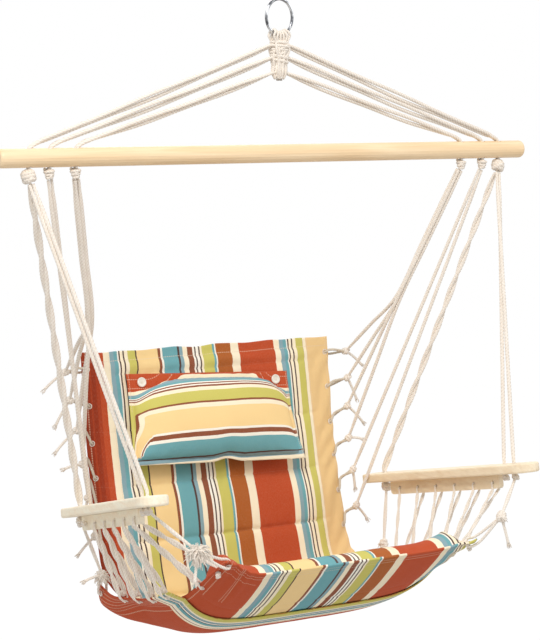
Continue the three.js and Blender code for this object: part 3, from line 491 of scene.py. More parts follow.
def coil(soup, centre, axis, wrap, squash=1.0):
    """Rope wound round an axis. wrap is a profile of (place along the axis, distance from it), the
    turns, the rope's radius and how far each turn tilts."""
    profile, turns, radius, tilt = wrap
    axis = Vector(axis).normalized()
    first = axis.cross(Vector((0.0, 1.0, 0.02))).normalized()
    second = axis.cross(first)
    places, reaches = zip(*profile)
    count = int(turns * 20)
    points = []
    for index in range(count + 1):
        share = index / count
        angle = math.tau * turns * share
        place = places[0] + (places[-1] - places[0]) * share
        reach = float(np.interp(place, places, reaches))
        side = first * math.cos(angle) * reach + second * math.sin(angle) * reach * squash
        points.append(centre + side + axis * (place + tilt * math.cos(angle) * reach))
    soup.tube(points, radius, pitch=KNOT_TWIST, step=0.0016, sides=9)


print(f"knots: {KNOT_POINTS} places round each")

# %% [markdown]
# A cord's cut end hangs from its knot and opens into a brush, and the softer knots shed fibres.
# Hair particles can't be handed on as a mesh, so each fibre is a thin tube of its own. A seed for
# every knot keeps the fibres where they are each time that the script runs.

# %% Tails and loose fibres
TIP_FIBRES = 14
TIP_FIBRE, LOOSE_FIBRE = 0.0005, 0.0011
SAG = 0.18


def tail(soup, start, way, length, seed):
    """A rope's free end: it hangs a little and opens into a frayed tip."""
    rng = random.Random(seed)
    radius = CORD / 2
    way = Vector(way).normalized()
    shares = (0, 0.25, 0.5, 0.75, 1)
    points = [start + way * (length * s) + Vector((0, 0, -SAG * length * s * s)) for s in shares]
    points = smooth(points, 0.003)
    soup.tube(points, radius, taper=lambda s: 1.0 if s < 0.8 else 1.0 + (s - 0.8) * 0.6)
    end = (points[-1] - points[-2]).normalized()
    side = end.orthogonal().normalized()
    for fibre in range(TIP_FIBRES):
        angle = math.tau * fibre / TIP_FIBRES + rng.random()
        out = side * math.cos(angle) + end.cross(side) * math.sin(angle)
        root = points[-1] + out * (radius * rng.uniform(0.2, 0.8)) - end * 0.002
        reach = rng.uniform(0.006, 0.011)
        tip = root + end * reach + out * rng.uniform(0.0005, 0.003)
        middle = root.lerp(tip, 0.5) + out * 0.0006
        soup.tube([root, middle, tip], TIP_FIBRE, lobes=0, step=0.003, sides=5)


def frays(soup, centre, reach, count, seed):
    """Loose fibres that stand out of a knot and droop."""
    rng = random.Random(seed)
    for _ in range(count):
        way = Vector((rng.gauss(0, 1), rng.gauss(0, 1), rng.gauss(-0.25, 0.8))).normalized()
        side = way.orthogonal().normalized() * rng.uniform(-0.4, 0.4)
        far = reach * rng.uniform(0.6, 1.0)
        tip = centre + way * far + Vector((0, 0, -0.35 * far))
        points = smooth([centre + way * 0.006, centre + (way + side) * (far * 0.6), tip], 0.003)
        soup.tube(points, LOOSE_FIBRE, lobes=0, step=0.003, sides=5, taper=lambda s: 1 - 0.5 * s)


def pair(points, gap, pitch, near=None):
    """Two strands that twist round one route. near gives a factor for their gap at a place."""
    points = resample([Vector(p) for p in points], 0.004)
    out = ([], [])
    run = 0.0
    for index, (point, (_, first, second)) in enumerate(zip(points, carry(points))):
        if index:
            run += (point - points[index - 1]).length
        turn = math.tau * run / pitch
        aside = (first * math.cos(turn) + second * math.sin(turn)) * (gap * (near(point) if near else 1.0))
        out[0].append(point + aside)
        out[1].append(point - aside)
    return out


print(f"tails: {TIP_FIBRES} fibres at each tip")

# %% [markdown]
# The chair hangs from a small ring of steel wire, turned a little from the line of the bar. A torus
# from the mesh menu would do. This one is laid out row by row instead, so that its top is exactly
# at the hanging point and its turn is the solid's.

# %% Hanging ring
RING_RADIUS = 0.029
RING_WIRE = 0.005
RING_TURN = math.radians(12)
RING_STEPS, WIRE_SIDES = 96, 20
SIDEWAYS = Vector((math.cos(RING_TURN), math.sin(RING_TURN), 0))
FORWARD = Vector((-math.sin(RING_TURN), math.cos(RING_TURN), 0))
RING_CENTRE = Vector((0, 0, RING_WIRE / 2 - RING_RADIUS))

soup = Soup()
rows = []
for index in range(RING_STEPS + 1):
    angle = math.tau * index / RING_STEPS
    outward = SIDEWAYS * math.cos(angle) + Vector((0, 0, math.sin(angle)))
    row = []
    for side in range(WIRE_SIDES):
        turn = math.tau * side / WIRE_SIDES
        reach = RING_RADIUS + math.cos(turn) * RING_WIRE / 2
        row.append(RING_CENTRE + outward * reach + FORWARD * (math.sin(turn) * RING_WIRE / 2))
    rows.append(row)
soup.grid(rows, caps=False)
ring = soup.make("ring_wire", "ring", [steel_look.material], "steel")
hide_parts("hanging_ring")

# %% [markdown]
# Six rope loops lie side by side over the ring and run down into an irregular knotted column. It
# would be hard to tie them for real. What shows is loops, slanting wraps, strands that come
# together and a bound tip, so the head is made of those, over a core that lets no light through.

# %% Rope head: loops over the ring
HEAD_TOP, HEAD_LENGTH = 0.0625, 0.066
HEAD_WIDTH, HEAD_DEPTH = 0.038, 0.028
FLAT = HEAD_DEPTH / HEAD_WIDTH
HEAD_CORD, HEAD_PITCH, HEAD_TWIST = 0.0046, 0.0062, 0.012
LOOPS = 6
LOOP_BEND = RING_WIRE / 2 + 0.002 + HEAD_CORD / 2
LEG = ((0.86, LOOP_BEND * 0.85, 0.004), (0.95, 0.0085, 0.016), (0.55, 0.0072, 0.036),
       (0.62, 0.0068, 0.05), (0.34, 0.003, 0.064))
WIDTHS = ((0, 0.8), (0.12, 1), (0.26, 0.9), (0.33, 0.78), (0.45, 0.92), (0.57, 0.82), (0.63, 0.72),
          (0.78, 0.8), (0.9, 0.68), (1, 0.44))


def head_half(share):
    """Half the head's width, by share of its length."""
    return HEAD_WIDTH / 2 * float(np.interp(share, *zip(*WIDTHS)))


def head_point(across, ahead, drop):
    return SIDEWAYS * across + FORWARD * ahead + Vector((0, 0, -HEAD_TOP - drop))


head = Soup()
for number in range(LOOPS):
    turn = (number - (LOOPS - 1) / 2) * HEAD_PITCH / RING_RADIUS
    radial = SIDEWAYS * math.sin(turn) - Vector((0, 0, math.cos(turn)))
    wire = RING_CENTRE + radial * (RING_RADIUS + 0.00165)
    x = RING_RADIUS * math.sin(turn)
    legs = {}
    for face in (-1, 1):
        legs[face] = [wire + FORWARD * (face * LOOP_BEND * 0.95) + radial * 0.004]
        legs[face] += [head_point(x * share, face * ahead, drop) for share, ahead, drop in LEG]
    bow = []
    for step in range(9):
        angle = math.pi * (1 - step / 8)
        bow.append(wire + (FORWARD * math.cos(angle) - radial * math.sin(angle)) * LOOP_BEND)
    head.tube(smooth(legs[-1][::-1] + bow + legs[1]), HEAD_CORD / 2, pitch=HEAD_TWIST)
print(f"rope head: {LOOPS} loops, {HEAD_PITCH * 1000:.1f} mm apart")

# %% Rope head: wraps, strands and tip
HEAD_MIDDLE = Vector((0, 0, -HEAD_TOP))
DOWN = Vector((0, 0, -1))
STRAND, TIP_END = 0.0026, 0.0019
WRAPS = ((((0.004, 0.0132), (0.011, 0.0158), (0.019, 0.0138)), 2.6, 0.0027, 0.16),
         (((0.012, 0.0150), (0.022, 0.0135), (0.031, 0.0135)), 2.2, 0.0027, -0.35),
         (((0.027, 0.0140), (0.033, 0.0142), (0.039, 0.0125)), 1.8, 0.0027, 0.3))
WHIPPING = (((0.0585, 0.0072), (0.0605, 0.0070)), 2.3, TIP_END, 0.05)
HEAD_STRANDS, TIP_ENDS, CORE_SIDES, CORE_ROWS = 9, 5, 18, 24


def head_place(angle, reach, share, flat=FLAT):
    return Vector((math.cos(angle) * reach, math.sin(angle) * reach * flat, -HEAD_TOP - HEAD_LENGTH * share))


for wrap in WRAPS:
    coil(head, HEAD_MIDDLE, DOWN, wrap, squash=FLAT)
for number in range(HEAD_STRANDS):
    strand = []
    for share in (0.28, 0.42, 0.55, 0.66, 0.78, 0.88, 0.97):
        lean = math.tau * number / HEAD_STRANDS + (share - 0.5) * 0.7 * math.sin(number * 2.3)
        strand.append(head_place(lean, head_half(share) - 0.0028, share))
    head.tube(smooth(strand), STRAND, pitch=HEAD_TWIST)
coil(head, HEAD_MIDDLE, DOWN, WHIPPING, squash=FLAT)
for number in range(TIP_ENDS):
    root = head_place(math.tau * number / TIP_ENDS + 0.4, 0.0035, 0.93, 0.003 / 0.0035)
    head.tube([root, root + DOWN * 0.0058], TIP_END, slot=1, step=0.0015)
core = []
for index in range(CORE_ROWS):
    share = index / (CORE_ROWS - 1)
    reach = max(head_half(share) - 0.004, 0.001) if share < 1 else 0.0005
    angles = [math.tau * side / CORE_SIDES for side in range(CORE_SIDES)]
    core.append([head_place(angle, reach, 0.02 + share * 0.94) for angle in angles])
head.grid(core)
rope_head = head.make("knotted_rope_head", "yoke", [rope_material, tip_material], "rope")
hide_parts("rope_head")

# %% [markdown]
# Above the bar the cords run in pairs from the head to the bar's holes. On the real chair they hang
# under load, so they are nearly straight, and only sag and stray by a few millimetres. Each one
# ends in a bend over the edge of its hole, which shows from above.

# %% Cords above the bar
HEAD_PLACES = {"inner": 0.84, "middle": 0.48, "outer": 0.18}
HOLE_EDGE = 0.006
PAIR_SWAY, PAIR_APART, PAIR_SAG = 0.0026, 0.0034, 0.0022


def upper_route(group, out):
    """From the head down and over the hole's edge, as (out, height over the bar)."""
    share = HEAD_PLACES[group]
    edge, head_height = out - HOLE_EDGE, BAR_DROP - HEAD_TOP - HEAD_LENGTH * share
    return [(head_half(share) * 0.45, head_height + 0.003), (head_half(share) + 0.002, head_height),
            (edge - 0.012, 0.0245), (edge - 0.002, 0.0197), (edge + 0.0034, 0.0152),
            (out - 0.0002, 0.008), (out, -0.002), (out, -0.017)]


def upper_pair(side_name, side, group, out):
    soup = Soup()
    for face in (-1, 1):
        points = []
        for number, (x, up) in enumerate(upper_route(group, out)):
            sway = PAIR_SWAY * face * (1.0 if number > 1 else 0.8)
            points.append(at(side * x, sway, -up))
        line = resample(points[:3], 0.004)
        for number, point in enumerate(line):
            s = number / (len(line) - 1)
            apart = PAIR_APART * math.sin(math.pi * s) ** 0.5 + 0.0008 * math.sin(s * 13 + out * 30)
            point.z -= PAIR_SAG * math.sin(math.pi * s) + face * apart
        soup.tube(line + smooth(points[2:]), CORD / 2, pitch=TWIST, full=0.3)
    obj = soup.make(f"{side_name}_{group}_cord_pair", "yoke", [rope_material], "rope")
    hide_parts(f"{side_name}_{group}_upper_cords")

# %% [markdown]
# Below the bar each group of cords is held by a knot: a round one at the outer hole, and a smaller
# one that narrows downward at the others. The knots stay with the bar when the chair swings, so
# they are pieces of their own.

# %% Knots below the bar
ROUND_KNOT, TAPERED_KNOT = (0.026, 0.0262, 0.0047), (0.0165, 0.0185, 0.0031)
ROUND_WRAP = (((-0.0055, 0.0072), (0, 0.0084), (0.0055, 0.0072)), 2.4, 0.0042, 0.25)
TAPERED_WRAP = (((-0.0035, 0.0038), (0.001, 0.0046), (0.006, 0.0066), (0.0102, 0.0067)), 2.9, 0.0027, 0.12)
KNOT_TURNS = {"inner": 0.5, "middle": -0.4, "outer": 0.6}


def bar_knot(side_name, side, group, out):
    soup = Soup()
    knee = at(side * out, 0, KNOT_DROP)
    turn = KNOT_TURNS[group]
    if group == "outer":
        knot(soup, knee, (0, 0, 1), ROUND_KNOT, turn * side)
        coil(soup, knee, (0.3 * side, 0.1, 1), ROUND_WRAP)
    else:
        coil(soup, knee, (0.06 * side, 0.02, 1), TAPERED_WRAP)
        knot(soup, knee + Vector((0, 0, 0.0032)), (0, 0, 1), TAPERED_KNOT, turn)
    obj = soup.make(f"{side_name}_{group}_knot", "yoke", [rope_material], "rope")
    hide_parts(f"{side_name}_{group}_bar_knot")


for side_name, side in SIDES:
    for group, out in HOLES.items():
        upper_pair(side_name, side, group, out)
        bar_knot(side_name, side, group, out)

# %% [markdown]
# Back and seat are one cloth, a sling that hangs in a curve between its hems. It could be draped
# by a simulation, but its cords pull it taut, and its curve is known from the photograph. So two
# side profiles are blended across, one for the middle and one for the edges. The left front corner
# is lifted by its cord, and the upper left side curls back.

# %% Sling: surface
# MIDDLE and EDGE run from the top hem to the front one, as shares of the reach and of the drop.
SLING_WIDTH = 0.488
SLING_REACH, SLING_DROP, SLING_FORWARD = 0.241, 0.784, 0.009
SLING_HEM = 0.004
HEM_WIDTH = 0.016
TOP_CHANNEL = 0.040
CHANNELS = 8
CORNER_LIFTS = {-1: 0.029, 1: 0.004}
CORNER_FORWARD = 0.020
CURL_START, CURL = 0.84, 0.015
MIDDLE = ((1, 0.434), (0.866, 0.631), (0.7, 0.829), (0.622, 0.921), (0.468, 0.989), (0.145, 1),
          (-0.228, 0.966), (-0.477, 0.921), (-0.863, 0.816))
EDGE = ((1, 0.434), (0.918, 0.631), (0.772, 0.823), (0.66, 0.908), (0.46, 0.934), (0.145, 0.923),
        (-0.241, 0.897), (-0.519, 0.862), (-0.884, 0.809))


def profile_curve(shares):
    return Spline([at(0, reach * SLING_REACH - SLING_FORWARD, drop * SLING_DROP) for reach, drop in shares])


middle_curve, edge_curve = profile_curve(MIDDLE), profile_curve(EDGE)
LENGTH = middle_curve.length
CHANNEL = (LENGTH - HEM_WIDTH - TOP_CHANNEL) / CHANNELS
row_cache = {}


def sling_row(along):
    key = round(along, 6)
    if key not in row_cache:
        share = middle_curve.share(min(max(along, 0.0), LENGTH))
        row_cache[key] = (share, middle_curve.place(share), edge_curve.place(share))
    return row_cache[key]


def sling(across, along):
    """A place in the middle of the cloth: across from -1 to 1, along from the top hem in metres."""
    share, middle, edge = sling_row(along)
    point = middle.lerp(edge, abs(across) ** 6)
    lift = CORNER_LIFTS[-1 if across < 0 else 1]
    corner = ramp(abs(across), 0.6, 1) ** 1.5 * ramp(share, 0.84, 1)
    point.z += lift * corner
    point.y -= CORNER_FORWARD * corner * lift / CORNER_LIFTS[-1]
    point.x = across * SLING_WIDTH / 2
    curl = ((-across - CURL_START) / (1 - CURL_START)) ** 2 if across < -CURL_START else 0
    point.y += CURL * curl * (1 - ramp(share, 0.32, 0.5))
    return point


def sling_out(across, along):
    """The direction out of the cloth's inner face, square to its profile."""
    reach = LENGTH * 0.004
    way = sling(across, along + reach) - sling(across, along - reach)
    return Vector((0, -way.z, way.y)).normalized()


print(f"sling: {LENGTH:.3f} m along its middle, {CHANNELS} channels of {CHANNEL * 1000:.0f} mm")

# %% Sling: places by height and by reach
def along_where(low, high, beyond):
    """How far along the cloth a test of its places starts to fail, by halving."""
    for _ in range(36):
        middle = (low + high) / 2
        low, high = (middle, high) if beyond(middle) else (low, middle)
    return low


def along_at_drop(drop):
    return along_where(0.0, LENGTH * 0.56, lambda along: sling(0, along).z > -BAR_DROP - drop)


def along_at_reach(across, behind):
    return along_where(LENGTH * 0.5, LENGTH, lambda along: sling(across, along).y > behind)


print(f"0.5 m below the bar is {along_at_drop(0.5):.3f} m along the sling")

# %% [markdown]
# The padding stands up between the stitched seams, thin at the back, thicker in the seat and
# thickest at the front. Pillows of cloth could be simulated channel by channel. A crown between two
# seams, with puckers that fade away from them, gives the same look and keeps every seam in place.

# %% Sling: padding
BACK_PAD, BACK_SWELL, SEAT_PAD, FRONT_PAD = 0.008, 0.004, 0.022, 0.047
BACK_MARGIN, SEAT_MARGIN = 0.058, 0.022
SEAT_CHANNEL, FRONT_CHANNEL = 4, 6.8
PUCKER, GATHER, UNEVEN = 0.0011, 0.0006, 0.0011


def wobble(x, y, seed=0.0):
    """A smooth unevenness from -1 to 1, so that no fold is quite like the next."""
    down = math.sin(x * 41 + seed + 2.1 * math.sin(y * 23 + seed))
    return (down + math.sin(y * 57 - seed * 1.7 + 1.7 * math.sin(x * 31))) / 2


def pad_height(along, seat):
    """How thick the padding is between its seams. seat is 1 on the seat and 0 on the back."""
    front_start = TOP_CHANNEL + CHANNEL * FRONT_CHANNEL
    front = ramp(along, front_start - CHANNEL / 3, front_start + CHANNEL / 3)
    back = BACK_PAD + BACK_SWELL * ramp(along, 0.215, 0.275)
    pad = back + (SEAT_PAD - back) * seat
    return pad + (FRONT_PAD - pad) * front


def pad_thickness(across, along):
    """The cloth's whole thickness: a flat margin at each side, and crowns between the seams."""
    seat_start = TOP_CHANNEL + CHANNEL * SEAT_CHANNEL
    seat = ramp(along, seat_start - CHANNEL / 2, seat_start + CHANNEL / 2)
    margin = BACK_MARGIN + (SEAT_MARGIN - BACK_MARGIN) * seat
    inward = (1 - abs(across)) * SLING_WIDTH / 2
    side = ramp(inward, margin * 0.5, margin * 1.3)
    channel = (along - TOP_CHANNEL) / CHANNEL
    share = channel - math.floor(channel + 1e-6)
    if channel < 0:
        share = (along - HEM_WIDTH) / (TOP_CHANNEL - HEM_WIDTH)
    filled = 0 if along < HEM_WIDTH or channel > CHANNELS - 1e-6 else 1
    crown = max(math.sin(math.pi * share), 0.0) ** 0.42 * side * filled
    seam = min(share, 1 - share) * CHANNEL
    x = across * SLING_WIDTH / 2
    pucker = PUCKER * math.sin(x * 260 + 2.5 * wobble(x, along * 3, 2.0)) * math.exp(-seam / 0.011) * side
    gather = GATHER * math.sin(along * 310 + 2 * wobble(x, along, 1.0))
    gather *= math.exp(-abs(inward - margin * 0.7) / 0.012)
    uneven = UNEVEN * wobble(x, along, 4.0) * side
    thickness = SLING_HEM + (pad_height(along, seat) - SLING_HEM) * crown
    return max(thickness + (pucker + gather + uneven) * filled, 0.003)


pads = [round(pad * 1000) for pad in (BACK_PAD, SEAT_PAD, FRONT_PAD)]
print("padding in mm at the back, the seat and the front:", pads)

# %% [markdown]
# Cloth has two faces and a rounded rim. A solidify modifier gives both faces the same offset, but
# the padding stands up mostly on the inner side. So one function lays out both faces of any cloth
# from its middle surface and two thicknesses, and the cloth's own metres go into its coordinates.

# %% Closed cloths
def dense(stops, fine):
    """Places between stops, no more than fine apart."""
    places = [stops[0]]
    for a, b in zip(stops, stops[1:]):
        count = max(int(math.ceil((b - a) / fine)), 1)
        places += [a + (b - a) * (i + 1) / count for i in range(count)]
    return places


def both_sides(half, fine):
    """Places from the left edge to the right one, from those of the right half."""
    return dense([-place for place in half[::-1]] + half[1:], fine)


def plate(across_places, along_places, middle, halves, rim=0.0016, inner_until=None):
    """A closed cloth round a surface. Its inner face has the second material up to inner_until."""
    soup = Soup()
    rings, rings_uv = [], []
    for along in along_places:
        end = min(along - along_places[0], along_places[-1] - along)
        upper, lower, row = [], [], []
        for across in across_places:
            beside = min(across - across_places[0], across_places[-1] - across) * SLING_WIDTH / 2
            near = min(end, beside) / rim
            rounding = math.sqrt(max(1 - (1 - min(near, 1)) ** 2, 0.03))
            point, out = middle(across, along)
            above, below = halves(across, along)
            upper.append(point + out * (above * rounding))
            lower.append(point - out * (below * rounding))
            row.append((across * SLING_WIDTH / 2, along))
        rings.append(upper + lower[::-1])
        rings_uv.append(row + row[::-1])
    count = len(across_places)
    soup.grid(rings, uv=rings_uv, caps=False)
    for index in range(len(soup.slots) if inner_until else 0):
        row, place = divmod(index, 2 * count)
        soup.slots[index] = 1 if place >= count and along_places[row] < inner_until else 0
    soup.sew_ends(0, len(rings), count)
    return soup


print("0 to 1 in steps of 0.4 or less:", [round(float(place), 2) for place in dense([0, 1], 0.4)])

# %% [markdown]
# The fabric is printed with stripes in warm and cool colours. An image of the print would be the
# quick way, but it would be fixed to one size. A colour ramp with hard steps holds the same print
# as places in metres, so the stripes keep their real widths on every piece of cloth.

# %% Fabric colours
RED = rgb(194, 80, 43)
# Painted shade: a darker red for the fold down the left edge of the sling's inner face, and a mid red for
# its creases.
RED_FOLD_SHADE = rgb(158, 56, 28)
RED_CREASE_SHADE = rgb(176, 66, 34)
BRICK = rgb(178, 98, 44)
YELLOW = rgb(252, 218, 156)
# Painted shade: a darker yellow for the hem at the right edge of the sling's inner face.
YELLOW_HEM_SHADE = rgb(242, 206, 148)
CREAM = rgb(255, 241, 212)
TEAL = rgb(112, 172, 180)
BLUE = rgb(140, 172, 182)
GREEN = rgb(209, 201, 106)
BROWN = rgb(146, 84, 58)
DARK = rgb(86, 66, 62)
WHITE = rgb(254, 248, 234)
print("the stripes' red in linear light:", [round(part, 3) for part in RED[:3]])

# %% [markdown]
# Seen close, the cloth is a plain weave with rows of stitches along its channels and hems. Modelled
# threads would need millions of faces. Two sine waves, one for each way of the thread, give the
# weave as a bump, and a stitch is where a line and a dash meet. The cloth's own metres drive both,
# so they follow every curve.

# %% Cloth look
THREAD = 0.0011
STITCH_PITCH, STITCH = 0.0042, 0.003
SEAM_HALF, HEM_HALF = 0.0005, 0.0007


def weave_look(look, over, beside, colour):
    """Threads, uneven yarn and slight fading over the colour. Gives the colour and the height."""
    weave = (over * (math.tau / THREAD)).sin() * (beside * (math.tau / THREAD)).sin()
    yarn = look.noise(900.0, 2.0, stretch=(1, 1, 0.25))
    fade = look.noise(9.0, 4.0)
    shade = look.ramp(0.5 + 0.5 * weave, [(0, rgb(118, 108, 98)), (1, rgb(240, 236, 228))])
    colour = look.mix(0.14, colour, shade, "SOFT_LIGHT")
    colour = look.mix((yarn - 0.4) * 0.12, colour, rgb(255, 240, 216))
    colour = look.mix((fade - 0.45) * 0.16, colour, rgb(120, 60, 40))
    return colour, 0.35 * weave + 0.6 * yarn


def stitches(look, seams, hems):
    """A mask of the stitched lines: seams run across, hems as (place, 0 across or 1 along, span)."""
    across, along = look.cloth()
    rows = []
    for place in seams:
        rows.append(along.near(place, SEAM_HALF) * (across % STITCH_PITCH).below(STITCH) * 0.12)
    for place, way, *span in hems:
        line, run = (across, along) if way else (along, across)
        row = line.near(place, HEM_HALF) * (run % STITCH_PITCH).below(STITCH)
        rows.append(row * run.above(span[0]) * run.below(span[1]) if span else row)
    mask = rows[0]
    for row in rows[1:]:
        mask = mask.op("MAXIMUM", row)
    return mask


def cloth_look(name, stripes, start, period, way=0, seams=(), hems=(), sides=()):
    """Stripes, weave and stitches, all in the cloth's own metres.

    way is 0 where the colours change across the cloth, and 1 or -1 where they change along it.
    sides are bands of another colour over the stripes, as (from, to, colour) across the cloth."""
    look = Look(name, roughness=0.88, sheen_weight=0.04, sheen_roughness=0.5, specular_ior_level=0.15)
    across, along = look.cloth()
    over, beside = (along * float(way), across) if way else (across, along)
    waver = (look.noise(26.0, 2.0) - 0.5) * 0.0016
    share = ((over + waver - start) / period) % 1.0
    colour = look.ramp(share, [(place / period, tone) for place, tone in stripes], steps=True)
    # Some of these bands are print and some are painted shade.
    for low, high, tone in sides:
        colour = look.mix((across + waver).above(low) * (across + waver).below(high), colour, tone)
    colour, height = weave_look(look, over, beside, colour)
    mask = stitches(look, seams, hems)
    colour = look.mix(mask * 0.5, colour, rgb(240, 214, 186))
    rumple = look.bump(look.noise(15.0, 3.0, stretch=(1, 1, 0.55)), 0.3, 0.012)
    return look.finish(base_color=colour, normal=look.bump(height + mask * 2.0, 0.5, 0.0004, rumple))


print(f"weave: a thread each {THREAD * 1000:.1f} mm, a stitch each {STITCH_PITCH * 1000:.1f} mm")

# %% [markdown]
# Both faces have the same print, each from its own start. One material for each face is simpler
# than one with a mask, as each face has its own stitches too: those of the lower left corner show
# on the outer face only. On the inner face, the red stripe down the left edge has painted shade, a
# darker red where it folds and two darker lines for creases, and the yellow at the right edge has
# painted shade of its hem, a darker yellow beside a cream line.

# %% Sling: stripes
# Each stripe is where it starts, in metres, and its colour.
PERIOD = 0.339
ACROSS = (
    (0.000, RED), (0.072, CREAM), (0.084, BLUE), (0.092, TEAL), (0.098, WHITE), (0.101, DARK),
    (0.104, CREAM), (0.109, DARK), (0.112, CREAM), (0.118, GREEN), (0.1335, DARK), (0.136, YELLOW),
    (0.1765, BROWN), (0.182, WHITE), (0.186, TEAL), (0.2155, DARK), (0.219, BLUE), (0.226, CREAM),
    (0.2355, BROWN), (0.245, WHITE), (0.249, DARK), (0.252, WHITE), (0.257, DARK), (0.260, CREAM),
    (0.264, GREEN), (0.286, TEAL), (0.289, WHITE), (0.292, BRICK), (0.323, CREAM),
)
INNER_START, OUTER_START = -0.283, -0.230
print(f"sling print: {len(ACROSS)} stripes, again after {PERIOD} m")

# %% Sling: cloth
SIDE_STITCHES = SLING_WIDTH / 2 - 0.005
seams = [TOP_CHANNEL + CHANNEL * c for c in range(CHANNELS)]
hems = [(HEM_WIDTH, 0), (LENGTH - HEM_WIDTH, 0), (LENGTH - HEM_WIDTH * 0.55, 0),
        (-SIDE_STITCHES, 1), (SIDE_STITCHES, 1)]
inner_hems = hems + [(0.1985, 1), (-0.2, 1)]
outer_hems = hems + [(-0.231, 1, LENGTH - 0.11, LENGTH), (-0.205, 1, LENGTH - 0.10, LENGTH),
                     (-0.199, 1, LENGTH - 0.10, LENGTH), (LENGTH - 0.03, 0, -0.25, -0.165)]
# The red bands and the darker yellow are painted shade of the edges' fold, creases and hem; the cream line
# is print.
inner_bands = ((-0.27, -0.2255, RED_FOLD_SHADE), (-0.2345, -0.2320, RED_CREASE_SHADE), (-0.2255, -0.2200, RED_CREASE_SHADE),
               (0.190, 0.1965, CREAM), (0.1965, 0.25, YELLOW_HEM_SHADE))
outer_bands = ((-0.25, OUTER_START, RED),)
inner_cloth = cloth_look("sling_inner", ACROSS, INNER_START, PERIOD, 0, seams, inner_hems, inner_bands)
outer_cloth = cloth_look("sling_outer", ACROSS, OUTER_START, PERIOD, 0, seams, outer_hems, outer_bands)
print(f"sling cloth: {len(seams)} seams, {len(inner_hems)} and {len(outer_hems)} stitched lines")

# %% Sling: mesh
# The rows lie closer together at the hems and beside each seam, where the cloth bends most.
SIDE_STEP, ROW_STEP = 0.0185, 0.0062
OUTER_SHARE = 0.05
FOLD, PLEAT, TOP_WAVE = 0.0016, 0.0019, 0.0016
half_places = [0, 0.35, 0.7, 0.8, 0.9, 0.965, 0.99, 0.9965, 1.0]
seam_shares = (0.03, 0.08, 0.5, 0.92, 0.97, 1)
row_stops = [0.004, HEM_WIDTH, TOP_CHANNEL]
row_stops += [TOP_CHANNEL + CHANNEL * (c + s) for c in range(CHANNELS) for s in seam_shares]
along_places = [0, 0.0006, 0.0018] + dense(row_stops + [LENGTH - 0.004], ROW_STEP)
along_places += [LENGTH - 0.0018, LENGTH - 0.0006, LENGTH]


def sling_halves(across, along):
    """How far the outer and the inner face lie from the middle surface."""
    crown = pad_thickness(across, along) - SLING_HEM
    return SLING_HEM / 2 + crown * OUTER_SHARE, SLING_HEM / 2 + crown * (1 - OUTER_SHARE)


def sling_sheet(across, along):
    """The surface with a waving top hem, folds down the right side and pleats at the left corner."""
    point, out = sling(across, along), sling_out(across, along)
    x = across * SLING_WIDTH / 2
    point.z += TOP_WAVE * wobble(x * 1.7, 0.3, 6.0) * math.exp(-along / 0.025)
    folds = FOLD * ramp(across, 0.8, 0.9) * math.sin((x * 1.3 + along) * 118 + 2 * math.sin(along * 31))
    pleats = PLEAT * ramp(-across, 0.66, 0.84) * ramp(along, LENGTH - 0.12, LENGTH - 0.05)
    pleats *= math.sin(x * 330 + 1.1)
    return point + out * (folds * ramp(along, 0.0, 0.05) + pleats), out


side_places = both_sides(half_places, SIDE_STEP)
soup = plate(side_places, along_places, sling_sheet, sling_halves, inner_until=LENGTH - CHANNEL * 0.97)
padded_sling = soup.make("padded_sling", "chair", [outer_cloth, inner_cloth], "sling_fabric")
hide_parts("fabric_sling")

# %% [markdown]
# A second cloth crosses below the seat, and a flap of it turns up past each side to take the
# lacing. It hugs the sling's outer face, so it is laid out from the same surface. The right flap
# falls toward its rear, and the left one is folded there, as its corner cord pulls it.

# %% Band: surface
BAND_BELOW, BAND_HALF = 0.006, 0.0014
FLAP_OUT, FLAP_RISE, FLAP_REAR_FALL = 0.030, 0.015, 0.044
FLAP = 1 + FLAP_OUT / (SLING_WIDTH / 2)
FOLD_START, FOLD_IN, FOLD_DOWN = 0.6, 0.016, 0.022
BAND_FRONT, BAND_REAR = along_at_reach(0, -0.107), along_at_drop(0.745)
FLAP_INSETS = (0.005, 0.010, 0.016, 0.022, 0.029, 0.036)
flap_places = [0, 0.5, 0.9, 1.0, FLAP - 0.02, FLAP - 0.003, FLAP]


def band(across, along):
    inside = min(max(across, -1), 1)
    out = sling_out(inside, along)
    point = sling(inside, along) + out * BAND_BELOW
    beyond = (abs(across) - abs(inside)) / (FLAP - 1)
    rear = 1 - ramp(along, BAND_REAR, BAND_REAR + (FLAP_OUT * 2 if across > 0 else 0.12))
    point.x += math.copysign(beyond * FLAP_OUT, across)
    if across > 0:
        point.z += beyond * (FLAP_RISE - FLAP_REAR_FALL * rear)
    else:
        fold = math.sin(math.pi * (max(-across - FOLD_START, 0) / (FLAP - FOLD_START)) ** 2.2)
        point.x -= rear * (FOLD_IN * fold - FOLD_IN / 2 * beyond)
        point.z += beyond * (FLAP_RISE + 0.002 * rear) - FOLD_DOWN * rear * fold
    return point, out


def band_halves(across, along):
    wave = 0.0002 * wobble(across * SLING_WIDTH, along * 2, 3.0)
    return BAND_HALF + wave, BAND_HALF - wave


print(f"band: from {BAND_REAR:.3f} to {BAND_FRONT:.3f} m along the sling")

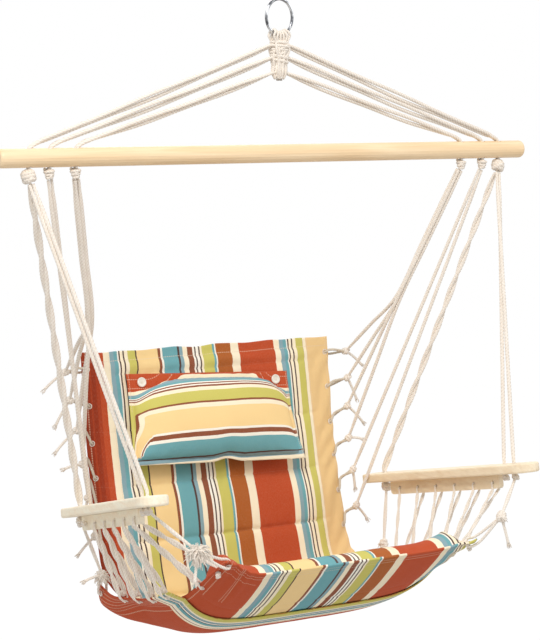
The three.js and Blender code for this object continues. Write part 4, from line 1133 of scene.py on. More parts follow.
# %% Band: stripes and mesh
BELOW_PERIOD = 0.300
BELOW = (
    (0.000, GREEN), (0.010, CREAM), (0.015, BLUE), (0.020, DARK), (0.022, WHITE), (0.025, DARK),
    (0.027, TEAL), (0.036, CREAM), (0.041, WHITE), (0.045, BROWN), (0.047, CREAM), (0.054, RED),
)
band_places = both_sides(flap_places, SIDE_STEP)
band_rows = [BAND_REAR, BAND_REAR + 0.001] + dense([BAND_REAR + 0.003, BAND_FRONT - 0.003], 0.006)
band_rows += [BAND_FRONT - 0.001, BAND_FRONT]
stitched = [(side * (FLAP * SLING_WIDTH / 2 - inset), 1) for _, side in SIDES for inset in FLAP_INSETS]
stitched += [(BAND_REAR + 0.008, 0), (BAND_FRONT - 0.008, 0)]
band_cloth = cloth_look("band_stripes", BELOW, -BAND_FRONT, BELOW_PERIOD, -1, hems=stitched)
soup = plate(band_places, band_rows, band, band_halves, rim=0.001)
seat_band = soup.make("under_seat_band", "chair", [band_cloth], "band_fabric")
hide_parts("seat_band")
wide = max(run_length([band(across, along)[0] for across in band_places]) for along in band_rows[::6])
deep = max(run_length([band(across, along)[0] for along in band_rows]) for across in band_places[::4])
print(f"seat band: {wide:.3f} x {deep:.3f} m when flat")

# %% [markdown]
# Twelve cords carry the back. Each runs from the bar to its own knot beside the fabric, where its
# end hangs loose, and from there two strands go through a stitched eye, one on each face of the
# side band. Four come from each inner hole as a bundle that fans out, and two from each middle hole.

# %% Back cords: eyes and knots
# KNOTS and TAILS are in millimetres: outward, behind and down, from the eye and from the knot.
DROPS = (0.368, 0.430, 0.493, 0.552, 0.617, 0.679)
KNOTS = ((44, -5, 1), (41, -7, -14), (34, -8, -27), (29, -8, -28), (28, -9, -36), (24, -9, -34))
TAILS = ((40, 4, 20), (26, 6, 34), (40, 4, 26), (36, 4, 0), (8, 4, 30), (30, 6, 22))
EYE_INSET = 0.008


def millimetres(place, side):
    out, behind, drop = (v / 1000 for v in place)
    return Vector((side * out, behind, -drop))


def eye(index, side):
    """A back cord's hole in the fabric, its knot and the way out of the fabric."""
    along = along_at_drop(DROPS[index])
    across = side * (1 - EYE_INSET / (SLING_WIDTH / 2))
    hole = sling(across, along)
    to_hem = sling(side, along) - hole
    down = sling(across, along + 0.008) - sling(across, along - 0.008)
    return hole, hole + millimetres(KNOTS[index], side), (to_hem.cross(down) * side).normalized()


print(f"back cords: {len(DROPS)} eyes on a side, {DROPS[0]} to {DROPS[-1]} m below the bar")

# %% Back cords: where they leave the bar
FAN = at(0.303, 0.092, 0.262)
BUNDLE = 0.0060
BUNDLE_PLACES = ((0.5, 0.5), (-0.5, 0.5), (0.5, -0.5), (-0.5, -0.5))
TAPERED_REACH = 0.0066


def from_knot(knee, way, offset, clear):
    """Where a cord beside a knot's axis leaves the knot's ball."""
    beside = offset - way * offset.dot(way)
    nearest = max(beside.length - CORD / 2, 0)
    return knee + beside + way * math.sqrt(clear ** 2 - nearest ** 2)


def bundle_route(index):
    """From the inner hole's knot to the fan, each cord in its own quarter of the bundle."""
    knee = at(HOLES["inner"], 0, KNOT_DROP)
    way = (FAN - knee).normalized()
    outward = (Vector((0, 1, 0)) - way * way.y).normalized()
    u, w = BUNDLE_PLACES[index]
    offset = (outward * w + outward.cross(way) * u) * BUNDLE
    return [from_knot(knee, way, offset, TAPERED_REACH), FAN + offset]


def cord_start(index, side):
    if index < len(BUNDLE_PLACES):
        return [mirrored(place, side) for place in bundle_route(index)]
    knee = at(HOLES["middle"], 0, KNOT_DROP)
    way = (eye(index, 1)[1] - knee).normalized()
    offset = Vector((-BUNDLE / 2 if index == len(BUNDLE_PLACES) else BUNDLE / 2, 0, 0))
    return [mirrored(from_knot(knee, way, offset, TAPERED_REACH), side)]


print(f"bundle: {len(BUNDLE_PLACES)} cords, {BUNDLE * 1000:.0f} mm apart")

# %% Eyelets and eyes
EYE_SWING = 0.0029
EYE_CLEAR = 0.0010


def eyelet(soup, hole, outward, thick, reach=0.0042):
    """Stitches round a hole, on both faces of the cloth."""
    first = outward.orthogonal().normalized()
    second = outward.cross(first)
    for face in (-1, 1):
        points = []
        for step in range(33):
            angle = math.tau * step / 32
            uneven = reach * (1 + 0.05 * math.cos(step * 2.7))
            place = hole + (first * math.cos(angle) + second * math.sin(angle)) * uneven
            points.append(place + outward * (face * (thick / 2 + 0.0004)))
        soup.tube(points, 0.0009, pitch=0.003, step=0.0012, sides=6)


def eye_loop(hole, end, outward, side):
    """Two strands from the knot over the side band's hem, one on each face, that meet in the hole."""
    way = (end - hole).normalized()
    flat = ((end - hole) - outward * (end - hole).dot(outward)).normalized()
    edge = EYE_INSET / abs(flat.x)
    half = SLING_HEM / 2 + CORD / 2 + EYE_CLEAR
    beside = (outward - way * outward.dot(way)).normalized() * EYE_SWING
    hem = outward.cross(flat).normalized() * (0.0038 * side)
    strands = {}
    for face in (-1, 1):
        strands[face] = [
            end - way * 0.003 + beside * face,
            hole + flat * (edge + CORD * 1.2) + outward * (face * half * 0.96) + hem * face,
            hole + flat * (edge * 0.5) + outward * (face * half * 1.05) + hem * (face * 0.6),
            hole + flat * 0.0011 + outward * (face * half * 0.8),
        ]
    return smooth(strands[-1] + [hole - flat * 0.0008] + strands[1][::-1], 0.002)

# %% Back cords: mesh
BACK_KNOT = (0.0138, 0.0178, 0.0033)
BACK_WRAP = (((-0.0045, 0.0038), (0.0, 0.0048), (0.0045, 0.0036)), 2.2, 0.0024, 0.3)
BACK_FULL = {-1: 0.5, 1: 0.3}


def back_cord(index, side_name, side):
    soup = Soup()
    hole, end, outward = eye(index, side)
    soup.tube(eye_loop(hole, end, outward, side), CORD / 2 * 0.94, pitch=TWIST, slot=1)
    start = cord_start(index, side)
    line = start + [end]
    if len(start) == 2:
        start, fan = start
        line = smooth([start, start.lerp(fan, 0.55), fan, fan.lerp(end, 0.5), end], 0.004)
    soup.tube(line, CORD / 2, pitch=TWIST, full=BACK_FULL[side])
    way = (end - hole).normalized()
    knot(soup, end, way, BACK_KNOT, 0.4 + index * 0.9 * side)
    coil(soup, end, way, BACK_WRAP)
    hang = millimetres(TAILS[index], side)
    hang.z *= 1.1
    tail(soup, end + hang.normalized() * 0.004, hang, hang.length - 0.008, index * 7 + side)
    eyelet(soup, hole, outward, SLING_HEM)
    obj = soup.make(f"{side_name}_back_line_{index + 1}", "chair", [rope_material, eye_material], "rope")
    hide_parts(f"{side_name}_back_cord_{index + 1}")


for side_name, side in SIDES:
    for index in range(len(DROPS)):
        back_cord(index, side_name, side)

# %% [markdown]
# The armrests are plain boards with a lacing rail below each, and the bar is a turned rod. Their
# solids already have the real shape, holes and round ends, so no mesh is made here. They only get
# the wood, the bar and the right armrest a warmer one than the left armrest.

# %% Wooden pieces
ARM_THICKNESS = 0.016
ARM_REAR = (0.299, 0.168, 0.596)
ARM_TURNS = {-1: (8.0, 13.2), 1: (6.6, 10.9)}
WOODS = {"spreader_bar": pine, "left_armrest_board": pale_pine, "left_lacing_rail": pale_pine,
         "right_armrest_board": tan_pine, "right_lacing_rail": tan_pine}


def arm_axes(side):
    """Along the board to its front, outward and up."""
    splay, rise = (math.radians(a) for a in ARM_TURNS[side])
    level = math.cos(rise)
    along = Vector((side * math.sin(splay) * level, -math.cos(splay) * level, math.sin(rise)))
    up = (Vector((0, 0, 1)) - along * along.z).normalized()
    return along, up.cross(along), up


def arm(side, along, outward, up):
    ahead, across, above = arm_axes(side)
    out, behind, drop = ARM_REAR
    return at(side * out, behind, drop) + ahead * along + across * (outward * side) + above * up


for name, material in WOODS.items():
    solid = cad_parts[name]
    solid.data.materials.clear()
    solid.data.materials.append(material)
print("wooden pieces:", ", ".join(WOODS))

# %% [markdown]
# The outer cords carry the armrests. Two run to the front of each board and a twisted pair to its
# rear, and all are held by a knot under the board. The foremost one and the rear pair go on from
# there to a corner of the seat as a short cord, which is knotted and loops through the fabric.

# %% Corner cords: helpers
# A knot's place is given from its eye, and its tail's end from the knot. Frays are their reach and
# their number.
CORNER_SIZES = {"front": (0.0178, 0.0225, 0.0041), "rear": (0.0172, 0.022, 0.0040)}
CORNER_WRAPS = {"front": (((-0.006, 0.0046), (0, 0.0060), (0.006, 0.0046)), 2.3, 0.0031, 0.3),
                "rear": (((-0.006, 0.0046), (0, 0.0058), (0.006, 0.0046)), 2.3, 0.0030, 0.3)}
CORNER_KNOTS = {("front", -1): (-0.060, -0.010, 0.029), ("front", 1): (0.044, -0.032, 0.046),
                ("rear", -1): (-0.010, -0.022, 0.036), ("rear", 1): (0.018, -0.026, 0.044)}
CORNER_TAILS = {("front", -1): (-0.010, -0.008, -0.040), ("front", 1): (0.010, -0.008, -0.040),
                ("rear", -1): (-0.038, -0.008, 0.002), ("rear", 1): (0.020, -0.006, -0.034)}
CORNER_FRAYS = {("front", -1): (0.024, 170), ("front", 1): (0.013, 40),
                ("rear", -1): (0.017, 80), ("rear", 1): (0.012, 40)}
CORNER_FULL = 0.42
LOOP_HALF = 0.0068


def hem_eye(surface, share, along, inset, side):
    """An eye near a cloth's side: its place, the way out over the hem and the way down through it."""
    hem = surface(side * share, along)
    out = (hem - surface(side * (share - 0.02), along)).normalized()
    forward = surface(side * share, along + 0.001) - hem
    down = (out.cross(forward) * side).normalized()
    return hem - out * inset, out, down


def band_place(across, along):
    return band(across, along)[0]


def under_board(soup, side, place, size, radius):
    """The knot that holds a cord under the board."""
    middle = arm(side, place, 0, -ARM_THICKNESS / 2 - 0.0003 - size / 2)
    up = arm_axes(side)[2]
    profile = ((-size * 0.26, size * 0.28), (0, size * 0.34), (size * 0.26, size * 0.28))
    knot(soup, middle, up, (size, size, radius), 0.7 * side + place)
    coil(soup, middle, up, (profile, 2.1, radius * 0.85, 0.3))
    return middle


def corner_cord(soup, corner, side, spot, middle, turn, seed):
    """From the board's knot to the corner: the span, the loop in the fabric, the knot and its tail."""
    hole, out, down = spot
    end = hole + Vector(CORNER_KNOTS[corner, side])
    droop = Vector((0, 0, -0.001 if corner == "front" else 0))
    soup.tube([middle, middle.lerp(end, 0.5) + droop, end], CORD / 2, pitch=TWIST, full=CORNER_FULL)
    loop = [end, hole + out * 0.018 - down * LOOP_HALF, hole - down * LOOP_HALF, hole + down * CORD * 1.1,
            hole + out * 0.017 + down * CORD * 1.1, end]
    soup.tube(smooth(loop, 0.002), CORD / 2 * 0.95, pitch=TWIST)
    eyelet(soup, hole, down, SLING_HEM)
    away = (middle - end).normalized()
    knot(soup, end, away, CORNER_SIZES[corner], turn)
    coil(soup, end, away, CORNER_WRAPS[corner])
    hang = Vector(CORNER_TAILS[corner, side])
    tail(soup, end + hang.normalized() * 0.005, hang, hang.length - 0.007, seed + side)
    frays(soup, end, *CORNER_FRAYS[corner, side], seed + 30 + side)


print(f"corner knots: {len(CORNER_KNOTS)}")

# %% Corner cords: mesh
FRONT_HOLES = {"front_arm": (0.351, 0.0033), "front_corner": (0.374, -0.0033)}
REAR_HOLE = 0.041
FRONT_BOARD_KNOT, REAR_BOARD_KNOT = (0.013, 0.0030), (0.019, 0.0040)
ROUND_REACH = 0.0128
REAR_PAIR_GAP, REAR_PAIR_TWIST = CORD * 0.56, 0.13
REAR_FULL = {-1: 0.6, 1: 0.35}
EYE_INSIDE = 0.013


def to_board(side, place, offset):
    """From the outer bar knot to the top of the board's hole."""
    knee = at(side * HOLES["outer"], 0, KNOT_DROP)
    way = (arm(side, place, 0, ARM_THICKNESS / 2) - knee).normalized()
    return [from_knot(knee, way, Vector((offset, 0, 0)), ROUND_REACH), arm(side, place, 0, ARM_THICKNESS)]


for side_name, side in SIDES:
    for name, (place, offset) in FRONT_HOLES.items():
        soup = Soup()
        middle = under_board(soup, side, place, *FRONT_BOARD_KNOT)
        route = to_board(side, place, offset * side) + [middle]
        soup.tube(route, CORD / 2, pitch=TWIST, full=CORNER_FULL)
        if name == "front_corner":
            spot = hem_eye(sling, 1, LENGTH - 0.012, EYE_INSIDE, side)
            corner_cord(soup, "front", side, spot, middle, 0.5 * side, 50)
        obj = soup.make(f"{side_name}_{name}_line", "chair", [rope_material], "rope")
        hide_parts(f"{side_name}_{name}_cord")
    soup = Soup()
    middle = under_board(soup, side, REAR_HOLE, *REAR_BOARD_KNOT)
    for strand in pair(to_board(side, REAR_HOLE, 0) + [middle], REAR_PAIR_GAP, REAR_PAIR_TWIST):
        soup.tube(strand, CORD / 2, pitch=TWIST, full=REAR_FULL[side])
    spot = hem_eye(band_place, FLAP, BAND_REAR + 0.014, EYE_INSIDE, side)
    corner_cord(soup, "rear", side, spot, middle, -0.5 * side, 60)
    obj = soup.make(f"{side_name}_rear_lines", "chair", [rope_material], "rope")
    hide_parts(f"{side_name}_rear_corner_cords")

# %% [markdown]
# A thin cord laces each rail to the seat: through a hole of the rail, down to an eye in the fabric,
# round the hem and up to the next hole. It is one long line, so its route is built hole by hole, and
# two strands twist round it. They close up where the line passes a hole.

# %% Lacing: route
LACE_BEHIND = (0.041, -0.009, -0.056, -0.097, -0.161, -0.209)
BAND_EYES = 4
HOLE_START, HOLE_STEP = 0.083, 0.048
RAIL_BESIDE, RAIL_FOOT, RAIL_HOLE = 0.0076, 0.0332, 0.02048
EYE_REACH = 0.005


def lacing_spots(side):
    """The eyes: the first ones in the flap of the band, the others in the sling."""
    spots = []
    for index, behind in enumerate(LACE_BEHIND):
        surface, share = (band_place, FLAP) if index < BAND_EYES else (sling, 1)
        spots.append(hem_eye(surface, share, along_at_reach(side, behind), 0.008, side))
    return spots


def lacing_route(side, spots):
    points = []
    for index, (hole, out, down) in enumerate(spots):
        place = HOLE_START + HOLE_STEP * index
        if index:
            points.append(arm(side, place, RAIL_BESIDE, -RAIL_FOOT))
        points += [arm(side, place, RAIL_BESIDE, -RAIL_HOLE), arm(side, place, -RAIL_BESIDE, -RAIL_HOLE),
                   arm(side, place, -RAIL_BESIDE, -RAIL_FOOT), hole - down * EYE_REACH,
                   hole + down * EYE_REACH, hole + out * 0.012 + down * (EYE_REACH / 2)]
    hole, _, down = spots[-1]
    return points[:-2] + [hole + down * 0.0074]


print(f"lacing: {len(LACE_BEHIND)} eyes on a side")

# %% Lacing: mesh
LACE, LACE_TWIST = 0.004, TWIST * 0.8
PAIR_GAP, PAIR_TWIST = {-1: 0.0022, 1: 0.0014}, 0.075
SWELL = {-1: 0.6, 1: 0.15}
EYE_KNOT, END_KNOT = (0.0115, 0.014, 0.0027), (0.0105, 0.0105, 0.0024)


def clearance(holes):
    """A factor that falls to 0 near any of the holes."""
    return lambda place: ramp(min((place - hole).length for hole in holes), 0.008, 0.022)


def lacing(side_name, side):
    soup = Soup()
    spots = lacing_spots(side)
    points = lacing_route(side, spots)
    places = [HOLE_START + HOLE_STEP * index for index in range(len(spots))]
    for index, (hole, out, down) in enumerate(spots):
        eyelet(soup, hole, down, 0.003 if index < BAND_EYES else SLING_HEM, 0.0036)
    clear = clearance([arm(side, place, 0, -RAIL_HOLE) for place in places] + [spot[0] for spot in spots])
    for strand in pair(points, PAIR_GAP[side], PAIR_TWIST, lambda place: 0.16 + 0.84 * clear(place)):
        soup.tube(strand, LACE / 2, pitch=LACE_TWIST, step=0.0022, sides=9,
                  girth=lambda place: 0.75 + SWELL[side] * clear(place))
    for index, (place, (hole, out, down)) in enumerate(zip(places[:-1], spots)):
        up = arm(side, place, 0, -RAIL_FOOT) - hole
        knot(soup, hole + up.normalized() * 0.013, up, EYE_KNOT, index * 0.7)
    start = points[0] + (points[0] - points[1]).normalized() * 0.002
    for spot, axis in ((start, arm_axes(side)[1]), (points[-1], spots[-1][2])):
        knot(soup, spot, axis, END_KNOT, 0.8)
    obj = soup.make(f"{side_name}_lacing_cord", "chair", [lace_material], "rope")
    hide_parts(f"{side_name}_lacing")


for side_name, side in SIDES:
    lacing(side_name, side)

# %% [markdown]
# The head pillow is buttoned to the back by its top hem, and its filling bulges up over that hem.
# Its places are given in its own frame, which starts in the middle of the top hem: x to the right,
# down the cloth, and out to the front. It can't bulge further up, or it would strike the back when
# it is turned up about the hem.

# %% Pillow: places
PILLOW_START = Vector((-0.014, 0.214356, -0.634245))
PILLOW_X = Vector((0.99863, -0.01134, -0.05109))
PILLOW_Z = Vector((0, -0.97624, 0.21671))
PILLOW_Y = PILLOW_Z.cross(PILLOW_X)
PILLOW_HALF, PILLOW_FOOT = 0.163, 0.158
PAD_HALF, PAD_TOP, PAD_FOOT = 0.156, 0.027, 0.150
BULGE, BULGE_ROUNDING = 0.040, 0.009
TURNING_SLOPE, TURNING_ROOM = 0.364, 0.0022
FOOT_STAND_OFF = 0.026
NOTCH_X, NOTCH_WIDTH, NOTCH_RISE = 0.012, 0.018, 0.006


def stand_off(down):
    return FOOT_STAND_OFF * (down / PILLOW_FOOT) ** 1.3


def on_pillow(x, down, out):
    """A place on the pillow. Its foot stands off the back, and its filling bulges up over the top hem."""
    share = down / PILLOW_FOOT
    middle = max(1 - (abs(x) / PAD_HALF) ** (2.2 if x < 0 else 3.0), 0) ** 0.8
    lift = BULGE * middle * max(1 - (down - PAD_TOP) / 0.131, 0) ** 1.2 * ramp(out, 0.0035, 0.02)
    limit = min(down, TURNING_SLOPE * max(out, 0) + TURNING_ROOM)
    over = down - lift - limit
    rounded = (math.hypot(over, BULGE_ROUNDING) - abs(over)) / 2 * ramp(lift, 0, 0.012)
    down = max(down - lift, limit) + rounded
    down -= NOTCH_RISE * math.exp(-((x - NOTCH_X) / NOTCH_WIDTH) ** 2) * share ** 5
    x *= 0.985 + 0.065 * share - 0.03 * (1 - (2 * share - 1) ** 2)
    return PILLOW_START + PILLOW_X * x - PILLOW_Y * down + PILLOW_Z * (out + stand_off(down))


print(f"pillow: {PILLOW_HALF * 2:.3f} x {PILLOW_FOOT:.3f} m with its hem")

# %% [markdown]
# The pillow's stripes don't run straight. The cloth is gathered at its ends, it is drawn up in the
# middle by the filling, and at the left it is folded round the end. All three are in the cloth's
# coordinates, so the print bends with the cloth as a real one does.

# %% Pillow: how the cloth lies
FOLD_STRIPE = 0.0765


def pillow_cloth_place(x, down):
    """How far down the print a place is."""
    end = x / PAD_HALF
    place = down
    if down > PAD_TOP:
        place = PAD_TOP + (down - PAD_TOP) * (1.22 - 0.12 * min(end * end, 1))
        place += (0.014 * end * end + 0.004 * end) * ramp(down, PAD_TOP, 0.06)
    drawn_up = min(down * 16.2, 0.0318 + down * 0.3)
    middle = ramp(x, -0.125, -0.05) * (1 - ramp(x, 0.095, 0.13))
    place += middle * max(drawn_up - place, 0)
    round_end = FOLD_STRIPE + (x + PILLOW_HALF) * (0.95 + 3.4 * ramp(down, 0.08, 0.146) ** 2)
    return min(place, round_end) if 0.03 < down < 0.1455 else place


print(f"the lower hem is {pillow_cloth_place(0, PILLOW_FOOT):.3f} m down the print")

# %% [markdown]
# A filled pillow has no simple formula, so this one is blown up by Blender's cloth simulation. It
# starts as a low cushion, remeshed to an even grid, whose back is pinned. Pressure swells the
# front, as the filling does. No point may move further than a limit, which keeps it off the back.

# %% Pillow: simulation
FRAMES = 20
VOXEL, PRESSURE, STIFFNESS = 0.005, 4.0, 12
BLOW_LIMIT = 0.009
PINNED_BELOW = 0.0028


def remeshed(places, faces):
    mesh = bpy.data.meshes.new("pillow_filling")
    mesh.from_pydata(places, [], faces)
    obj = bpy.data.objects.new("pillow_filling", mesh)
    bpy.context.scene.collection.objects.link(obj)
    remesh = obj.modifiers.new("remesh", "REMESH")
    remesh.mode, remesh.voxel_size = "VOXEL", VOXEL
    fine = bpy.data.meshes.new_from_object(obj.evaluated_get(bpy.context.evaluated_depsgraph_get()))
    obj.modifiers.clear()
    obj.data = fine
    return obj


def blow(obj, start):
    """The places after the filling's pressure, none further than the limit from its start."""
    group = obj.vertex_groups.new(name="held")
    group.add([i for i, p in enumerate(start) if p.z < PINNED_BELOW], 1.0, "REPLACE")
    cloth = obj.modifiers.new("cloth", "CLOTH")
    cloth.settings.vertex_group_mass = "held"
    cloth.settings.use_pressure = True
    cloth.settings.uniform_pressure_force = PRESSURE
    cloth.settings.effector_weights.gravity = 0
    cloth.settings.tension_stiffness = STIFFNESS
    cloth.point_cache.frame_start, cloth.point_cache.frame_end = 1, FRAMES
    for number in range(1, FRAMES + 1):
        bpy.context.scene.frame_set(number)
    shown = obj.evaluated_get(bpy.context.evaluated_depsgraph_get())
    moves = [vertex.co - place for place, vertex in zip(start, shown.data.vertices)]
    bpy.context.scene.frame_set(1)
    return [place + move * min(1, BLOW_LIMIT / max(move.length, 1e-9)) for place, move in zip(start, moves)]


print(f"simulation: {FRAMES} frames, cells of {VOXEL * 1000:.0f} mm")

# %% Pillow: cushion
CUSHION, CUSHION_BACK = 0.0035, -0.0005
CUSHION_HEIGHT = 0.031
COLUMNS, ROWS = 37, 17


def pillow_crown(x, down, height):
    u = min(abs(x) / PAD_HALF, 1)
    v = min(abs(down - (PAD_TOP + PAD_FOOT) / 2) / ((PAD_FOOT - PAD_TOP) / 2), 1)
    return height * max(1 - u ** 3, 0) ** 0.6 * max(1 - v ** 2.4, 0) ** 0.6


def cushion():
    """The low cushion to blow up: a flat back, a crowned front and a wall between their borders."""
    places, faces = [], []
    for face in (0, 1):
        for r in range(ROWS):
            down = PAD_TOP + r / (ROWS - 1) * (PAD_FOOT - PAD_TOP)
            for c in range(COLUMNS):
                x = (c / (COLUMNS - 1) * 2 - 1) * PAD_HALF
                front = CUSHION + pillow_crown(x, down, CUSHION_HEIGHT)
                places.append((x, down, front if face else CUSHION_BACK))
    count = COLUMNS * ROWS
    for r in range(ROWS - 1):
        for c in range(COLUMNS - 1):
            a = r * COLUMNS + c
            b, d, e = a + 1, a + COLUMNS + 1, a + COLUMNS
            faces += [(a, b, d, e), (a + count, e + count, d + count, b + count)]
    border = list(range(COLUMNS)) + [r * COLUMNS + COLUMNS - 1 for r in range(1, ROWS)]
    border += [(ROWS - 1) * COLUMNS + c for c in range(COLUMNS - 2, -1, -1)]
    border += [r * COLUMNS for r in range(ROWS - 2, 0, -1)]
    faces += [(a, a + count, b + count, b) for a, b in zip(border, border[1:] + border[:1])]
    return places, faces


print(f"cushion: {len(cushion()[0])} places")

# %% Pillow: filling
# The soup starts with the blown-up cushion, creased toward its border, and the hemmed cloth follows.
CREASE = 0.0012
filling = remeshed(*cushion())
start = [vertex.co.copy() for vertex in filling.data.vertices]
polygons = [tuple(polygon.vertices) for polygon in filling.data.polygons]
ends = blow(filling, start)
bpy.data.objects.remove(filling)
soup = Soup()
for p in ends:
    x, down = p.x, p.y
    behind = 0.8 * stand_off(down) * pillow_crown(x, down, 1) if p.z < 0.0015 else 0
    edge = min(1, (PAD_HALF - abs(x)) / 0.03, (down - PAD_TOP) / 0.02, (PAD_FOOT - down) / 0.02)
    crease = CREASE * math.sin(math.atan2(down - 0.085, abs(x) - 0.05) * 24 + x * 40)
    crease *= max(1 - max(edge, 0), 0) * (p.z > 0.004)
    soup.places.append(tuple(on_pillow(x, down, p.z + crease - behind)))
    soup.cloth.append((x, pillow_cloth_place(x, down)))
soup.faces = list(polygons)
soup.slots = [0] * len(polygons)
print(f"filling: {len(ends)} places")

# %% [markdown]
# Behind the filling lies a flat cloth with a stitched hem all round, which carries the buttons. It
# waves and puckers a little, most at its edge, because stitching draws cloth together.

# %% Pillow: hemmed cloth
HEM_THICKNESS, HEM_RIM = 0.0019, 0.002
EDGE_WAVE, EDGE_WOBBLE, EDGE_PUCKER = 0.0009, 0.0010, 0.0004
HEM_STITCHES = 0.012
column_stops = [-PILLOW_HALF, -PILLOW_HALF + HEM_RIM, -0.157, 0.157, PILLOW_HALF - HEM_RIM, PILLOW_HALF]
row_stops = [0, HEM_RIM, 0.014, 0.026, 0.144, PILLOW_FOOT - HEM_RIM, PILLOW_FOOT]
columns = dense(column_stops, 0.006)
rings, rings_uv = [], []
for down in dense(row_stops, 0.006):
    front, back, row = [], [], []
    for x in columns:
        near = min(PILLOW_HALF - abs(x), down, PILLOW_FOOT - down)
        thick = HEM_THICKNESS * math.sqrt(max(1 - (1 - min(near / HEM_RIM, 1)) ** 2, 0.05))
        wave = EDGE_WAVE * math.sin(x * 190 + down * 60) * max(1 - near / HEM_STITCHES, 0)
        wave += EDGE_WOBBLE * wobble(x * 2.2, down * 2.2, 5.0) * max(1 - near / 0.02, 0)
        pucker = EDGE_PUCKER * math.sin((x + down) * 700) * max(1 - abs(near - HEM_STITCHES) / 0.006, 0)
        front.append(on_pillow(x, down, thick + wave + pucker + 0.0003))
        back.append(on_pillow(x, down, -thick + max(wave, 0)))
        row.append((x, pillow_cloth_place(x, down)))
    rings.append(front + back[::-1])
    rings_uv.append(row + row[::-1])
base = len(soup.places)
soup.grid(rings, uv=rings_uv, caps=False)
soup.sew_ends(base, len(rings), len(columns))
print(f"hemmed cloth: {len(rings)} rows of {len(columns)} places on each face")

# %% Pillow: stripes and object
PILLOW_PERIOD = 0.20
PILLOW_RED = -0.008
PILLOW = (
    (0.000, RED), (0.040, CREAM), (0.049, BLUE), (0.054, TEAL), (0.058, WHITE), (0.0605, BROWN),
    (0.063, WHITE), (0.0655, BROWN), (0.068, CREAM), (0.075, GREEN), (0.092, BROWN), (0.095, CREAM),
    (0.102, YELLOW), (0.1375, WHITE), (0.141, BROWN), (0.149, WHITE), (0.154, TEAL), (0.1796, DARK),
    (0.182, BLUE), (0.189, CREAM),
)
pillow_hems = [(-0.160, 1), (0.160, 1), (0.010, 0), (0.0255, 0)]
pillow_cloth = cloth_look("pillow_stripes", PILLOW, PILLOW_RED, PILLOW_PERIOD, 1, hems=pillow_hems)
head_pillow = soup.make("hemmed_pillow", "pillow", [pillow_cloth], "pillow_fabric")
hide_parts("head_pillow")

# %% [markdown]
# Two white buttons hold the pillow. Each is a turned shape with a raised rim and a hollow, so its
# profile is spun round its middle, and two stitches of thread cross the hollow.

# %% Pillow: buttons
BUTTON_OUT, BUTTON_DOWN, BUTTON_LIFT = 0.136, 0.015, 0.0043
BUTTON_SIDES = 40
BUTTON = ((0.0001, -0.0020), (0.0060, -0.0020), (0.0079, -0.0012), (0.0085, 0.0002), (0.0082, 0.0014),
          (0.0072, 0.0019), (0.0060, 0.0014), (0.0050, 0.0007), (0.0020, 0.0005), (0.0001, 0.0005))
STITCH_ARCH = ((-1, 0.0002), (-0.8, 0.0012), (0.8, 0.0012), (1, 0.0002))

for side_name, side in SIDES:
    soup = Soup()
    middle = on_pillow(side * BUTTON_OUT, BUTTON_DOWN, BUTTON_LIFT)
    turns = [math.tau * step / BUTTON_SIDES for step in range(BUTTON_SIDES)]
    rings = []
    for reach, out in BUTTON:
        centre = middle + PILLOW_Z * out
        rings.append([centre + (PILLOW_X * math.cos(a) + PILLOW_Y * math.sin(a)) * reach for a in turns])
    soup.grid(rings)
    for shift in (-0.0013, 0.0013):
        points = [middle + PILLOW_X * shift + PILLOW_Y * (0.0019 * j) + PILLOW_Z * h for j, h in STITCH_ARCH]
        soup.tube(smooth(points, 0.0006), 0.0005, lobes=0, step=0.0006, sides=6, slot=1)
    button = soup.make(f"{side_name}_button", "pillow", [button_look.material, lace_material], "buttons")
    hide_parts(f"{side_name}_pillow_button")

# %% [markdown]
# The photograph's ground is plain white. A white floor under lamps turns grey away from them, so the
# floor also glows for the camera alone. It still takes the chair's shadow and lights it softly.

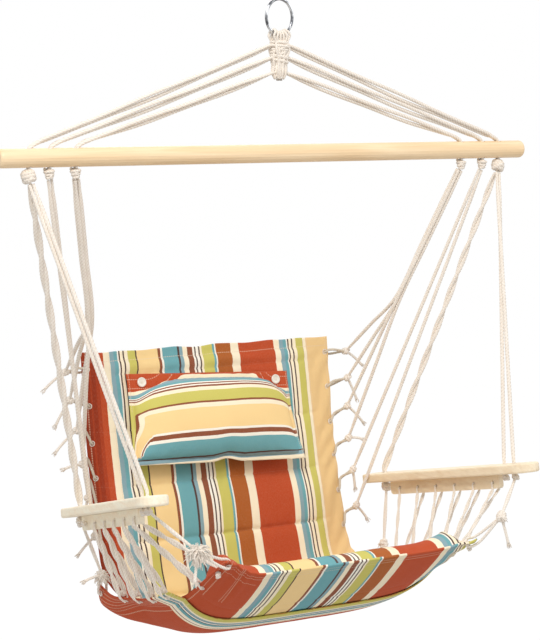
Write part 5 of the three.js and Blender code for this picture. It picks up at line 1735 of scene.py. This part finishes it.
# %% Floor
FLOOR_HALF, FLOOR_DROP = 30, -1.5
FLOOR_TONES = ((0.60, 0.60, 0.595, 1), (0.64, 0.64, 0.635, 1))
FLOOR_GLOW, GLOW_SHARE = 1.085, 0.87
floor_mesh = bpy.data.meshes.new("floor")
corners = [(FLOOR_HALF * x, FLOOR_HALF * y, FLOOR_DROP) for x, y in ((-1, -1), (1, -1), (1, 1), (-1, 1))]
floor_mesh.from_pydata(corners, [], [(0, 1, 2, 3)])
floor = bpy.data.objects.new("floor", floor_mesh)
bpy.context.scene.collection.objects.link(floor)
floor_look = Look("pale_floor", roughness=0.9, specular_ior_level=0.1)
floor_look.finish(base_color=floor_look.mix(floor_look.noise(1.5, 2.0), *FLOOR_TONES))
glow = floor_look.node("Emission", {"Strength": FLOOR_GLOW})
plain = Value(floor_look, floor_look.shader.outputs[0])
seen = floor_look.node("LightPath", output="Is Camera Ray")
surface = floor_look.node("MixShader", {0: seen * GLOW_SHARE, 1: plain, 2: glow})
floor_look.plug(floor_look.tree.nodes["Material Output"].inputs["Surface"], surface)
floor_mesh.materials.append(floor_look.material)
print(f"floor: {-FLOOR_DROP:.1f} m below the ring")

# %% [markdown]
# The world is pure white where the camera sees it, or sees it in the steel, and dimmer where it
# lights the chair. A large key lamp stands beside the camera, a weak one opposite softens its
# shadows, and one behind draws an edge of light on the cords.

# %% World and lamps
WORLD_LIGHT = 0.66
AIM = Vector((0, 0, -0.7))
world = bpy.data.worlds.new("studio")
bpy.context.scene.world = world
world.use_nodes = True
world.node_tree.nodes.clear()
sky = Nodes(world.node_tree)
rays = sky.node("LightPath", output="Is Camera Ray")
for kind in ("Is Glossy Ray", "Is Transmission Ray"):
    rays = rays.op("MAXIMUM", sky.node("LightPath", output=kind))
lit = sky.node("Background", {"Color": (1, 0.99, 0.98, 1), "Strength": WORLD_LIGHT})
shown = sky.node("Background", {"Color": (1, 1, 1, 1), "Strength": 1.0})
output = world.node_tree.nodes.new("ShaderNodeOutputWorld")
sky.plug(output.inputs["Surface"], sky.node("MixShader", {0: rays, 1: lit, 2: shown}))


def lamp(name, place, size, power, colour):
    light = bpy.data.lights.new(name, "AREA")
    light.shape, light.size, light.energy, light.color = "DISK", size, power, colour
    obj = bpy.data.objects.new(name, light)
    obj.location = place
    obj.rotation_euler = (AIM - Vector(place)).to_track_quat("-Z", "Y").to_euler()
    bpy.context.scene.collection.objects.link(obj)
    print(f"{name} lamp: {power} W")


lamp("key", (-1.7, -2.1, 2.1), 1.6, 82, (1.0, 0.985, 0.96))
lamp("fill", (2.6, -1.6, 0.6), 2.0, 15, (0.96, 0.98, 1.0))
lamp("rim", (0.8, 2.6, 1.0), 1.6, 22, (1.0, 1.0, 1.0))
bpy.context.scene.view_settings.view_transform = "Standard"
